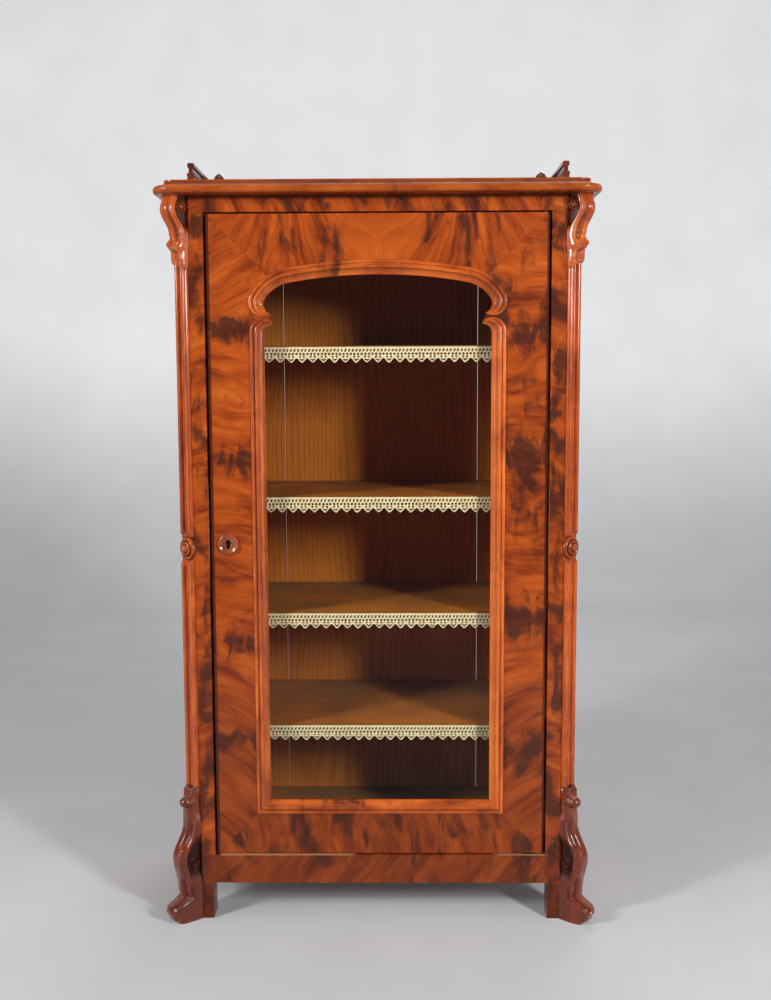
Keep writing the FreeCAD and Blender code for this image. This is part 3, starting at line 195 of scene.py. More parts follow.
VENEER_TONES = tone_card(
    (74, 24, 9), (124, 46, 14), (168, 71, 19), (192, 88, 26), (214, 114, 42),
    places=(0.30, 0.40, 0.50, 0.60, 0.72))
DARK_FIGURE = colour(58, 25, 19)
SHADE_BROWN = colour(74, 27, 10)
GRIME_AND_SHADE_BROWN = colour(34, 13, 8)
BARE_WOOD = colour(206, 150, 108)


def mahogany(name, leaf, tones=VENEER_TONES, rough=0.27, coat=0.2, grimed_and_shaded=False):
    """Polished mahogany; leaf gives the ways across and along the fibre, the figure, wear (some of it also
    a painted highlight) and shares of painted shade and darkening.
    """
    made, tree, shader, (x, y, z) = new_finish(name)
    across, along, dark, worn, *dirt_and_shade = leaf(x, y, z)
    depth = y * 4.0
    sway = cloud(tree, across * 8.0, along * 7.0, depth, 2.0) - 0.5
    across = across + sway * 0.045
    fine = cloud(tree, across * 1500.0, along * 30.0, depth, 1.0, 0.6)
    fibre = cloud(tree, across * 420.0, along * 9.0, depth, 2.0, 0.65)
    streak = cloud(tree, across * 62.0, along * 4.5, depth, 3.0, 0.62)
    flame = cloud(tree, across * 22.0, along * 9.0, depth, 3.0, 0.55, 0.6)
    tone = flame * 0.5 + streak * 0.34 + fibre * 0.2 + fine * 0.12 - 0.08
    wood = tinted(tree, tone, tones)
    column = cloud(tree, x * 25.0, y * 4.0, z * 10.0, 3.0, 0.55, 0.7) - 0.5
    feather = cloud(tree, across * 30.0, along * 12.0, depth, 4.0, 0.62, 0.8) - 0.5
    ragged = (column * 2.6 + feather * 1.2) * (dark * 2.0).by("ADD", 0.3, clamp=True)
    mark = (dark + ragged + (fibre - 0.5) * 0.5 + (streak - 0.5) * 0.6).rise(0.3, 0.9)
    wood = over(tree, mark * 0.87, wood, DARK_FIGURE)
    # Each share lays a dark brown over the wood: painted shadow and shade, and the darker foot of the
    # posts.
    for share in dirt_and_shade:
        wood = over(tree, share, wood, SHADE_BROWN)
    shader.inputs["Coat Weight"].default_value = coat
    # Grime in the hollows of a carving, painted darker there as shade, with less coat to shine.
    if grimed_and_shaded:
        packed_and_shaded = tree.nodes.new("ShaderNodeAttribute")
        packed_and_shaded.attribute_name = "grime_and_shade"
        packed_and_shaded = Grade(tree, packed_and_shaded.outputs["Fac"])
        wood = over(tree, packed_and_shaded * 0.88, wood, GRIME_AND_SHADE_BROWN)
        feed(tree, shader.inputs["Coat Weight"], packed_and_shaded * -0.9 * coat + coat)
    rub = cloud(tree, x * 160.0, y * 160.0, z * 160.0, 4.0, 0.7)
    chip = (worn * (rub + 0.28)).rise(0.40, 0.66)
    wood = over(tree, chip * 0.75, wood, BARE_WOOD)
    feed(tree, shader.inputs["Base Color"], wood)
    feed(tree, shader.inputs["Roughness"], (streak - 0.5) * 0.2 + rub * 0.1 + chip * 0.2 + (rough - 0.05))
    relief(tree, shader, fibre * 0.5 + fine * 0.2 + rub * 0.2 - chip * 0.8, 0.0002)
    shader.inputs["Specular IOR Level"].default_value = 0.2
    shader.inputs["Coat Roughness"].default_value = 0.09
    return made


def dress(nodes, made, ease=0.0):
    """Gives solids a finish, and eases their arrises by a small bevel."""
    for node in nodes:
        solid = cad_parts[node]
        if not solid.material_slots:
            solid.data.materials.append(made)
        for held in solid.material_slots:
            held.material = made
        if ease:
            arris = solid.modifiers.new("eased_arrises", "BEVEL")
            arris.width = ease
            arris.segments = 2
            arris.limit_method = "ANGLE"
            arris.angle_limit = math.radians(40)


def frieze_leaf(x, y, z):
    lean = (z - FRIEZE_LEAN_FROM) * 0.45
    dark = (x + lean).along((
        (-0.44, 0.1), (-0.37, 0.25), (-0.335, 0.0), (-0.23, 0.1), (-0.185, 0.55), (-0.15, 0.1),
        (-0.12, 0.5), (-0.08, 0.05), (0.0, 0.05), (0.05, 0.3), (0.1, 0.15), (0.18, 0.15),
        (0.21, 0.6), (0.25, 0.05), (0.33, 0.0), (0.37, 0.3), (0.44, 0.15)))
    worn = z.near(FRIEZE_LOW.z, 0.002) * 0.3
    # The last share is the painted shadow under the overhang of the moulded top.
    return x + lean, z, dark * 1.1 + 0.24, worn, z.rise(*SHADOW_UNDER_TOP) * 0.85


def base_leaf(x, y, z):
    lean = (z - BASE_LEAN_FROM) * -0.7
    dark = x.along((
        (-0.44, 0.5), (-0.36, 0.55), (-0.3, 0.3), (-0.2, 0.2), (-0.1, 0.35),
        (0.0, 0.25), (0.1, 0.4), (0.2, 0.25), (0.3, 0.4), (0.44, 0.55)))
    # The top arris is worn pale, and the pale line is also a painted highlight where it catches the light.
    rubbed_and_lit = x.along((
        (-0.44, 0.0), (-0.365, 0.0), (-0.36, 1.0), (-0.08, 1.0), (-0.03, 0.2),
        (0.2, 0.1), (0.28, 0.8), (0.36, 0.9), (0.44, 0.1)))
    worn = (z.near(BASE_HIGH.z, 0.0016) * rubbed_and_lit).most(z.near(BASE_LOW.z, 0.0016) * 0.5)
    return x + lean, z, dark, worn


def post_leaf(x, y, z):
    side = x.by("ABSOLUTE")
    dark = z.along((
        (0.0, 0.4), (0.14, 0.4), (0.2, 0.2), (0.27, 0.48), (0.36, 0.25), (0.5, 0.42),
        (0.62, 0.2), (0.75, 0.35), (0.84, 0.2), (0.9, 0.35), (1.0, 0.42), (1.1, 0.22),
        (1.2, 0.42), (1.3, 0.15), (1.38, 0.48), (1.47, 0.22), (1.54, 0.36), (1.61, 0.3)))
    # The inner arris is worn pale, and the pale line is also a painted highlight where it catches the
    # light.
    knocked_and_lit = z.along((
        (0.0, 0.45), (0.2, 0.6), (0.32, 0.45), (0.78, 0.45), (0.82, 0.75),
        (0.97, 0.75), (1.02, 0.45), (1.5, 0.5), (1.61, 0.6)))
    worn = (side.near(POST_EDGE, 0.0016) * knocked_and_lit).most(side.near(POST_FACE, 0.0014) * 0.4)
    # Darker below the base rail, and a painted shadow under the moulded top.
    below_rail = z.rise(BASE_LOW.z + 0.002, BASE_LOW.z - 0.006) * 0.75
    dirt_and_shade = below_rail.most(z.rise(*SHADOW_UNDER_TOP) * 0.85)
    return z + side * 0.35, x + y, dark + x.rise(-0.1, 0.1) * 0.07 + 0.18, worn, dirt_and_shade


def side_leaf(x, y, z):
    worn = y.near(SIDE_JOINT + 0.0005, 0.0015) * 0.5
    return y + z * 0.04, z, z.even(0.12), worn


BROWN_TONES = tone_card(
    (66, 24, 13), (108, 43, 17), (138, 58, 20), (160, 72, 24), (184, 92, 36),
    places=(0.30, 0.42, 0.52, 0.62, 0.74))
dress(["frieze_rail"], mahogany("frieze_veneer", frieze_leaf), 0.0007)
dress(["base_rail"], mahogany("base_rail_veneer", base_leaf, BROWN_TONES), 0.0009)
dress(["left_corner_post", "right_corner_post"], mahogany("corner_post_veneer", post_leaf), 0.0007)
dress(["left_side", "right_side"], mahogany("side_veneer", side_leaf), 0.0007)

# Pine boards behind the veneer: bottom, top and back boards, shelves on cleats, rear feet and door stop.
# Planed softwood, left bare inside and darkened to honey by age; the back is three uprights with open
# joints and the shelves lie loose on their cleats, dull with dust towards the back.
SHELF_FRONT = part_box("upper_shelf")[0].y
SHELF_DUST = colour(112, 94, 62)
SHELF_EDGE_SHADE = colour(92, 52, 24)
PINE_PLACES = (0.0, 0.4, 0.75, 1.0)
PINE_TONES = tone_card((216, 134, 48), (200, 114, 34), (170, 88, 23), (134, 63, 14), places=PINE_PLACES)
STAINED_TONES = tone_card((128, 70, 30), (112, 58, 23), (92, 45, 17), (70, 32, 11), places=PINE_PLACES)


def pine(name, lay, tones=PINE_TONES, grey=0.0):
    """Bare pine; lay gives the ways across the board, along it and through it."""
    made, tree, shader, (x, y, z) = new_finish(name)
    across, along, through = lay(x, y, z)
    plank = cloud(tree, across * 4.0, along * 0.7, through * 8.0, 1.0)
    waver = cloud(tree, across * 30.0, along * 3.0, through * 20.0, 2.0)
    ring = across * 70.0 + plank * 20.0 + waver * 1.2
    band = (ring * math.tau).by("SINE") * 0.5 + 0.5
    late = band.by("POWER", 2.2)
    fibre = cloud(tree, across * 700.0, along * 12.0, through * 300.0, 2.0, 0.7)
    stain = cloud(tree, x * 7.0, y * 7.0, z * 4.0, 3.0, 0.6)
    wood = tinted(tree, late * 0.24 + (fibre - 0.5) * 0.6 + (stain - 0.5) * 0.8 + 0.31, tones)
    if grey:
        dust = (stain + (y - FRONT) * 0.9 - 0.12).rise(0.35, 0.9)
        wood = over(tree, dust * grey, wood, SHELF_DUST)
        # Painted shade on the front edges of the shelves, seen dark through the lace.
        wood = over(tree, y.near(SHELF_FRONT, 0.0012) * 0.7, wood, SHELF_EDGE_SHADE)
    feed(tree, shader.inputs["Base Color"], wood)
    feed(tree, shader.inputs["Roughness"], fibre * 0.25 + late * -0.1 + 0.42)
    relief(tree, shader, late * 0.5 + fibre * 0.5, 0.0004)
    shader.inputs["Specular IOR Level"].default_value = 0.15
    return made


def upright_lay(x, y, z):
    return x, z, y


upright_pine = pine("upright_pine", upright_lay)
level_pine = pine("level_pine", lambda x, y, z: (y, x, z), grey=0.75)
cross_pine = pine("cross_pine", lambda x, y, z: (z, y, x))
dress(["back_board_left", "back_board_middle", "back_board_right", "door_stop"], upright_pine, 0.0008)
dress(["left_rear_foot", "right_rear_foot"], pine("stained_pine", upright_lay, STAINED_TONES), 0.0008)
dress(["upper_shelf", "second_shelf", "third_shelf", "lower_shelf", "bottom_board", "carcase_top_board"],
      level_pine, 0.0012)
dress(["left_shelf_cleats", "right_shelf_cleats"], cross_pine, 0.0012)

# Moulded top: a board with a half-round edge, a fillet and a cove, run round the front and both sides.
# Mahogany, its mouldings worked in the solid and glued round a veneered panel; nailed down on the carcase.
TOP_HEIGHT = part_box("moulded_top")[1].z
FILLET_DEPTH = 0.007
TOP_TONES = tone_card((96, 38, 13), (146, 62, 20), (172, 80, 26), (192, 97, 34), (212, 120, 50))


def top_leaf(x, y, z):
    dark = cloud(x.tree, x * 6.0, y * 9.0, z * 6.0, 2.0) - 0.42
    worn = z.near(TOP_HEIGHT, 0.0012) * 0.4
    # The last share is a painted shade along the cove of the top moulding.
    return y + z, x, dark, worn, z.near(TOP_HEIGHT - FILLET_DEPTH, FILLET_DEPTH) * 0.75


dress(["moulded_top"], mahogany("top_mahogany", top_leaf, TOP_TONES, 0.27, 0.12))

# Gallery: low rails along the sides and back of the top, with a plinth and a cap, and two turned posts.
# Dark solid mahogany; the rails are planed to a section and nailed from below, and the posts are turned
# with a mushroom cap.
DARK_TONES = tone_card(
    (44, 18, 12), (74, 29, 17), (98, 41, 22), (122, 55, 28), (146, 74, 42),
    places=(0.30, 0.42, 0.53, 0.64, 0.76))


def rail_leaf(x, y, z):
    return z, x + y, x.even(0.1), z.even(0.0)


dress(["gallery_left_rail", "gallery_right_rail", "gallery_back_rail"],
      mahogany("gallery_mahogany", rail_leaf, DARK_TONES), 0.0006)


def tube_of(loops, ring=False):
    """Points and faces of a solid skinned over closed loops, capped at both ends or joined into a ring."""
    count = len(loops[0])
    points = [point for loop in loops for point in loop]
    faces = []
    rows = len(loops) if ring else len(loops) - 1
    for row in range(rows):
        base, above = row * count, (row + 1) % len(loops) * count
        for step in range(count):
            beside = (step + 1) % count
            faces.append((base + step, base + beside, above + beside, above + step))
    if not ring:
        last = (len(loops) - 1) * count
        faces.append(tuple(range(count - 1, -1, -1)))
        faces.append(tuple(range(last, last + count)))
    return points, faces


def circle(count):
    """Angles at even steps round a turned piece."""
    return [math.tau * step / count for step in range(count)]


def placed(name, shape):
    """Puts a mesh, a drawn line, a lamp or a camera into the scene."""
    piece = bpy.data.objects.new(name, shape)
    bpy.context.scene.collection.objects.link(piece)
    return piece


def weld(mesh, gap):
    """Joins points nearer than a gap, turns the faces outwards, shades them smooth and gives their area."""
    shell = bmesh.new()
    shell.from_mesh(mesh)
    bmesh.ops.remove_doubles(shell, verts=shell.verts, dist=gap)
    bmesh.ops.recalc_face_normals(shell, faces=shell.faces)
    area = sum(face.calc_area() for face in shell.faces)
    shell.to_mesh(mesh)
    shell.free()
    mesh.polygons.foreach_set("use_smooth", [True] * len(mesh.polygons))
    return area


def make_piece(name, skin, made, body, node, crease, grime_and_shade=None):
    """A mesh piece with its finish, the body it moves with and the solid it stands for."""
    points, faces = skin
    mesh = bpy.data.meshes.new(name)
    mesh.from_pydata(points, [], faces)
    if grime_and_shade:
        mesh.attributes.new("grime_and_shade", "FLOAT", "POINT").data.foreach_set("value", grime_and_shade)
    weld(mesh, 0.00002)
    mesh.set_sharp_from_angle(angle=math.radians(crease))
    mesh.materials.append(made)
    piece = placed(name, mesh)
    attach(piece, body)
    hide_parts(node)


# Shares of the radius and height of a turned post: foot, bead, stem and mushroom cap.
POST_TURNING = (
    (0.70, 0.0), (0.70, 0.07), (0.78, 0.10), (0.80, 0.15), (0.74, 0.20), (0.52, 0.24),
    (0.42, 0.32), (0.40, 0.42), (0.48, 0.50), (0.80, 0.54), (0.96, 0.58), (1.0, 0.64),
    (0.98, 0.71), (0.91, 0.80), (0.78, 0.88), (0.58, 0.94), (0.32, 0.985), (0.04, 1.0))
post_mahogany = mahogany("gallery_post_mahogany", rail_leaf, DARK_TONES, 0.2, 0.7)
for side in ("left", "right"):
    low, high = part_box(f"gallery_{side}_post")
    middle = (low + high) / 2
    turned = []
    for wide, up in POST_TURNING:
        radius = (high.x - low.x) / 2 * wide
        height = low.z + (high.z - low.z) * up
        turned.append([(middle.x + radius * math.cos(turn), middle.y + radius * math.sin(turn), height)
                       for turn in circle(40)])
    make_piece(f"gallery_{side}_turning", tube_of(turned), post_mahogany, "carcase",
               f"gallery_{side}_post", 50)

# Trim of the canted corners: console, reeded strip, rosette, reeded strip and scroll foot down each corner.
# Carved and turned from solid mahogany, glued to the cut-off corner of the post and polished over;
# polish and dirt have gathered dark in the hollows, which are darkened further as painted shade, and the
# ridges shine.
MM = 0.001
DIAGONAL = math.sqrt(0.5)
HALF_CANT = (POST_HIGH.x - POST_FACE) / 2
CANT_X = POST_FACE + HALF_CANT
CANT_Y = FRONT + HALF_CANT


def span(node):
    """Bottom and top of a solid, in millimetres."""
    return [round(point.z / MM, 3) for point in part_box(node)]


def on_cant(sign, across, out, height):
    """A point of the trim in millimetres: across the corner outwards, out from its face, and up."""
    x = sign * CANT_X + sign * DIAGONAL * (across + out) * MM
    return (x, CANT_Y + DIAGONAL * (across - out) * MM, height * MM)


def eased(stations, height):
    """A size of a carving at a height, easing from each station to the next."""
    if height <= stations[0][0]:
        return stations[0][1]
    for low, high in zip(stations, stations[1:]):
        if height <= high[0]:
            share = (height - low[0]) / (high[0] - low[0])
            return low[1] + (high[1] - low[1]) * (1 - math.cos(math.pi * share)) / 2
    return stations[-1][1]


def scoop(across, height, top, bottom, half, depth, rim):
    """Depth of a round-ended channel down the middle of a carving, its border left standing as a rim."""
    past = max(0.0, height - top, bottom - height)
    away = math.hypot(across, past) / half
    if away < 1:
        return depth * (1 - away * away)
    return -rim * max(0.0, 1 - ((away - 1.4) / 0.4) ** 2)


def smooth(low, high, level):
    """0 at low, 1 at high and a smooth step between."""
    share = min(1.0, max(0.0, (level - low) / (high - low)))
    return share * share * (3 - 2 * share)


VOLUTE_EYE = 3.0
VOLUTE_PITCH = 6.0
VOLUTE_FADE = 4.0


def volute(out, height, eye_out, eye_height, reach):
    """Rise of a carved spiral in a hollow, from 0 to 1, as far as its reach from the eye."""
    away = math.hypot(out - eye_out, height - eye_height)
    turn = math.atan2(height - eye_height, out - eye_out)
    fading = smooth(reach, reach - VOLUTE_FADE, away)
    if away <= VOLUTE_EYE:
        return fading
    return fading * (0.5 + 0.5 * math.cos(math.tau * away / VOLUTE_PITCH - turn))


STRIP_GROUND = 4.0
STRIP_HALF = 20.0
REEDS = ((-13.0, 7.0), (0.0, 3.0), (13.0, 7.0))


def reed_height(across):
    """Height of the reeds above the corner, across a strip."""
    out = STRIP_GROUND if abs(across) <= STRIP_HALF else 0.0
    for middle, radius in REEDS:
        away = abs(across - middle)
        if away < radius:
            out = max(out, STRIP_GROUND + math.sqrt(radius * radius - away * away))
    return out


# Stations up a console, height first: its reach from the corner, its half width and how square its plan is.
CONSOLE_REACH = (
    (1451.0, 16.5), (1468.0, 18.5), (1478.5, 21.0), (1496.0, 22.0), (1505.0, 34.0),
    (1523.0, 21.5), (1531.0, 24.0), (1579.0, 46.5), (1608.0, 40.0))
CONSOLE_HALF = ((1451.0, 20.5), (1470.0, 22.0), (1490.0, 22.5), (1503.0, 24.0), (1608.0, 24.0))
CONSOLE_SQUARE = (
    (1451.0, 7.0), (1470.0, 5.0), (1490.0, 4.0), (1503.0, 3.4), (1520.0, 5.0), (1608.0, 5.5))


def console_bend(across, height):
    """How far the edge of the collar sags below its sides."""
    sag = max(0.0, 1 - ((across + 8.0) / 17.0) ** 2)
    return 10.0 * sag * smooth(1474, 1488, height) * smooth(1530, 1512, height)


def console_hollow(girth, across, height):
    """Depth of the long channel and of the leaf below the collar; a console has no other cuts."""
    channel_depth = 2.0 + 4.5 * smooth(1598, 1548, height)
    channel = scoop(
        girth + 11.0, height, top=1640.0, bottom=1521.0, half=8.8, depth=channel_depth, rim=2.2)
    leaf = scoop(girth + 9.0, height, top=1489.0, bottom=1474.0, half=7.4, depth=3.4, rim=1.6)
    return channel + leaf, 0.0


def console_recess(out, height, reach):
    """How far the flank is cut back behind the rim, round a spiral."""
    room = smooth(reach - 15.0, reach - 20.0, out) * smooth(1528, 1550, height)
    return room * (6.5 - 4.5 * volute(out, height, eye_out=12.0, eye_height=1586.0, reach=15.0))


def console_reeds(across, height):
    """Share of the reeds in the foot of a console, where they run up under the edge of its collar."""
    edge = 1465.0 + 0.3 * across - 0.012 * across * across
    return smooth(edge + 0.9, edge - 0.9, height)


# Stations up a scroll foot, in the same order.
FOOT_REACH = (
    (0.0, 55.5), (14.5, 69.0), (30.0, 77.0), (38.0, 75.5), (57.5, 39.0), (74.5, 40.5),
    (146.5, 54.0), (219.0, 22.5), (268.0, 26.0), (279.0, 25.5), (295.0, 20.5), (309.0, 11.5))
FOOT_HALF = (
    (0.0, 24.0), (225.0, 24.0), (252.0, 20.0), (272.0, 19.0), (286.0, 20.0), (296.0, 22.0), (309.0, 20.5))
FOOT_SQUARE = (
    (0.0, 5.0), (14.0, 4.0), (30.0, 3.2), (60.0, 4.5), (235.0, 5.0),
    (262.0, 2.6), (282.0, 2.6), (296.0, 5.0), (309.0, 7.0))


def foot_hollow(girth, across, height):
    """Depth of the channels of the knee and the toe, and of the cut under the collar."""
    fading = smooth(250, 214, height)
    knee = scoop(
        girth + 14.0, height, top=270.0, bottom=180.0, half=8.4, depth=5.0 * fading, rim=2.4 * fading)
    fading = smooth(116, 82, height)
    toe = scoop(
        girth + 13.0, height, top=130.0, bottom=41.0, half=8.2, depth=5.5 * fading, rim=2.4 * fading)
    collar = 2.4 * max(0.0, 1 - abs(height - 297.0 - 0.018 * across * across) / 2.6)
    return knee + toe, collar


def foot_knob(across, height):
    """Reach of the round knob near the top of a foot."""
    inside = 15.0 ** 2 - (across + 4.0) ** 2 - (1.15 * (height - 274.5)) ** 2
    return 25.5 + math.sqrt(inside) if inside > 0 else 0.0


def foot_recess(out, height, reach):
    """How far the flank is cut back behind the rim, round a spiral, and the line along the toe."""
    room = smooth(reach - 16.0, reach - 21.0, out) * smooth(78, 122, height) * smooth(206, 168, height)
    coil = room * (7.0 - 5.0 * volute(out, height, eye_out=17.0, eye_height=128.0, reach=17.0))
    toe_line = 3.0 * max(0.0, 1 - abs(reach - out - 16.0) / 3.5)
    return coil + toe_line * smooth(16, 26, height) * smooth(92, 74, height)


def foot_reeds(across, height):
    """Share of the reeds in the top of a foot, below the lower strip."""
    return smooth(303.0, 305.0, height - 0.012 * across * across)


def nowhere(across, height):
    """The bend or the knob of a carving that has none."""
    return 0.0


CARVED_STEPS = 90
PLAN_ROUNDNESS = 0.45
FLANK_FROM = 0.8
CUT_FADE = 8.0


def carved_loop(height, reach_at, half_at, square_at, hollow, recess, reeds, bend=nowhere, knob=nowhere):
    """Plan of a carving with its grime and painted shade: a channel between rims, flanks cut back, and
    reeds at the strip.
    """
    half, square = eased(half_at, height), eased(square_at, height)
    plan = []
    for step in range(CARVED_STEPS + 1):
        side = math.sin(math.pi * (step / CARVED_STEPS - 0.5))
        reach = eased(reach_at, height + bend(half * side, height))
        out = reach * max(0.0, 1 - abs(side) ** square) ** PLAN_ROUNDNESS
        plan.append((half * side, max(out, knob(half * side, height)), reach))
    girth = [0.0]
    for spot, beside in zip(plan, plan[1:]):
        girth.append(girth[-1] + math.dist(spot[:2], beside[:2]))
    loop, grime_and_shade = [], []
    for step, (across, out, reach) in enumerate(plan):
        before, after = plan[max(0, step - 1)], plan[min(CARVED_STEPS, step + 1)]
        run, climb = after[0] - before[0], after[1] - before[1]
        length = math.hypot(run, climb) or 1.0
        channel, cuts = hollow(girth[step] - girth[CARVED_STEPS // 2], across, height)
        depth = (channel + cuts) * min(1.0, out / CUT_FADE)
        cut_across = across + depth * climb / length
        cut_out = max(0.0, out - depth * run / length)
        reeded_share = reeds(across, height)
        cut_out = cut_out + (min(cut_out, reed_height(across)) - cut_out) * reeded_share
        back = recess(out, height, reach) if abs(across) > FLANK_FROM * half else 0.0
        loop.append((cut_across - math.copysign(back, across), cut_out, height))
        # Dirt gathers in the recess, the cuts and the channel, painted darker there as shade, and a painted
        # shadow lies at the roots of the reeds under the collar.
        shade = 0.55 * min(1.0, 4 * reeded_share * (1.15 - reeded_share))
        grime_and_shade.append(min(1.0, max(0.0, back / 5.5 + cuts / 6.0 + max(0.0, channel) / 8.0 + shade)))
    return loop, grime_and_shade


CONSOLE = dict(
    reach_at=CONSOLE_REACH, half_at=CONSOLE_HALF, square_at=CONSOLE_SQUARE,
    hollow=console_hollow, recess=console_recess, reeds=console_reeds, bend=console_bend)
FOOT = dict(
    reach_at=FOOT_REACH, half_at=FOOT_HALF, square_at=FOOT_SQUARE,
    hollow=foot_hollow, recess=foot_recess, reeds=foot_reeds, knob=foot_knob)
CARVED_TONES = tone_card((100, 36, 12), (160, 64, 19), (196, 87, 27), (222, 110, 39), (240, 136, 60))
FOOT_TONES = tone_card((58, 19, 8), (95, 32, 10), (123, 44, 13), (148, 58, 20), (172, 76, 32))


def carved_leaf(x, y, z):
    return x - y, z, x.even(0.05), x.even(0.0)


console_mahogany = mahogany("console_mahogany", carved_leaf, CARVED_TONES, 0.22, 0.65, grimed_and_shaded=True)
foot_mahogany = mahogany("foot_mahogany", carved_leaf, FOOT_TONES, 0.24, 0.9, grimed_and_shaded=True)
carved_mahogany = mahogany("carved_mahogany", carved_leaf, CARVED_TONES, 0.22, 0.6)
CARVED_ROW = 1.2


def carve(name, sign, made, shape):
    """A console or a foot, skinned over its plans from bottom to top."""
    low, high = span(name)
    rows = int((high - low) / CARVED_ROW)
    loops, grime_and_shade = [], []
    for row in range(rows + 1):
        loop, dirt_and_shade = carved_loop(low + (high - low) * row / rows, **shape)
        loops.append([on_cant(sign, *spot) for spot in loop])
        grime_and_shade += dirt_and_shade
    make_piece(f"{name}_carving", tube_of(loops), made, "carcase", name, 60, grime_and_shade)


ROSETTE_HEIGHT = sum(span("left_rosette")) / 2
SCOOP_RADIUS = 33.5
STRIP_STEPS = 48
END_ROW = 0.7


def strip_end(across, height):
    """Height of an end of a strip; the end beside the rosette is hollowed round it."""
    gap = height - ROSETTE_HEIGHT
    if abs(gap) > SCOOP_RADIUS:
        return height
    return ROSETTE_HEIGHT + math.copysign(math.sqrt(SCOOP_RADIUS ** 2 - across ** 2), gap)


def reed_loop(share, low, high):
    """Section of a reeded strip, sloped down into the hollow round the rosette."""
    loop = []
    for step in range(-1, STRIP_STEPS + 2):
        across = -STRIP_HALF + 2 * STRIP_HALF * min(STRIP_STEPS, max(0, step)) / STRIP_STEPS
        bottom, top = strip_end(across, low), strip_end(across, high)
        height = bottom + (top - bottom) * share
        run = height - bottom if low > ROSETTE_HEIGHT else top - height
        out = min(reed_height(across), 1.5 + 1.5 * run) if 0 <= step <= STRIP_STEPS else 0.0
        loop.append((across, out, height))
    return loop


def reeded(name, sign):
    """A reeded strip, with close rows at both ends for its slope."""
    low, high = span(name)
    ends = [step * END_ROW / (high - low) for step in range(20)]
    rows = ends + [0.03 + 0.94 * step / 8 for step in range(9)] + [1 - end for end in ends[::-1]]
    loops = [[on_cant(sign, *spot) for spot in reed_loop(share, low, high)] for share in rows]
    make_piece(f"{name}_reeds", tube_of(loops), carved_mahogany, "carcase", name, 40)


# Radius, height and dirt with painted shade along the turning of a rosette: rolled rim, ring and boss with
# grooves between.
ROSETTE_TURNING = (
    (25.0, 0.0, 0.6), (25.0, 3.0, 0.3), (24.6, 5.6, 0.0), (23.0, 7.8, 0.0), (20.8, 8.4, 0.0),
    (18.8, 7.2, 0.2), (17.6, 5.4, 0.8), (16.6, 5.0, 0.9), (15.9, 6.0, 0.6), (15.0, 9.2, 0.0),
    (13.6, 11.4, 0.0), (12.0, 11.8, 0.0), (10.8, 10.6, 0.4), (10.1, 9.6, 0.9), (9.5, 10.4, 0.6),
    (9.0, 13.2, 0.1), (7.8, 16.2, 0.0), (5.4, 18.4, 0.0), (2.6, 19.4, 0.0), (0.5, 19.7, 0.0))


def rosette(name, sign):
    """A turned rosette, darkened in its grooves by dirt and painted shade."""
    turns = circle(56)
    loops, grime_and_shade = [], []
    for radius, out, dirt_and_shade in ROSETTE_TURNING:
        loops.append([on_cant(sign, radius * math.cos(turn), out, ROSETTE_HEIGHT + radius * math.sin(turn))
                      for turn in turns])
        grime_and_shade += [0.25 + 0.75 * dirt_and_shade] * len(turns)
    make_piece(f"{name}_turning", tube_of(loops), console_mahogany, "carcase",
               name, 60, grime_and_shade)


for side, sign in (("left", -1), ("right", 1)):
    carve(f"{side}_console", sign, console_mahogany, CONSOLE)
    reeded(f"{side}_upper_strip", sign)
    rosette(f"{side}_rosette", sign)
    reeded(f"{side}_lower_strip", sign)
    carve(f"{side}_scroll_foot", sign, foot_mahogany, FOOT)

# Door frame: two stiles and two rails, mortised together and veneered over the joints.
# The veneer is flame mahogany laid across the members: a book-matched fan over the arch, mitred at the
# corners, the stiles with dark feathered figure; the outer arrises are worn and chipped pale.
DOOR_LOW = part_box("door_lock_stile")[0]
DOOR_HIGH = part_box("door_hinge_stile")[1]
DOOR_FACE = DOOR_LOW.y
DOOR_BOTTOM = DOOR_LOW.z
DOOR_TOP = DOOR_HIGH.z
DOOR_HALF = DOOR_HIGH.x
FAN_FOOT = 1.45
FAN_WAVE = 16.0
STILE_MIDDLE = 0.322


def choose(share, low, high):
    """One value where share is 0 and another where it is 1."""
    return low + (high - low) * share


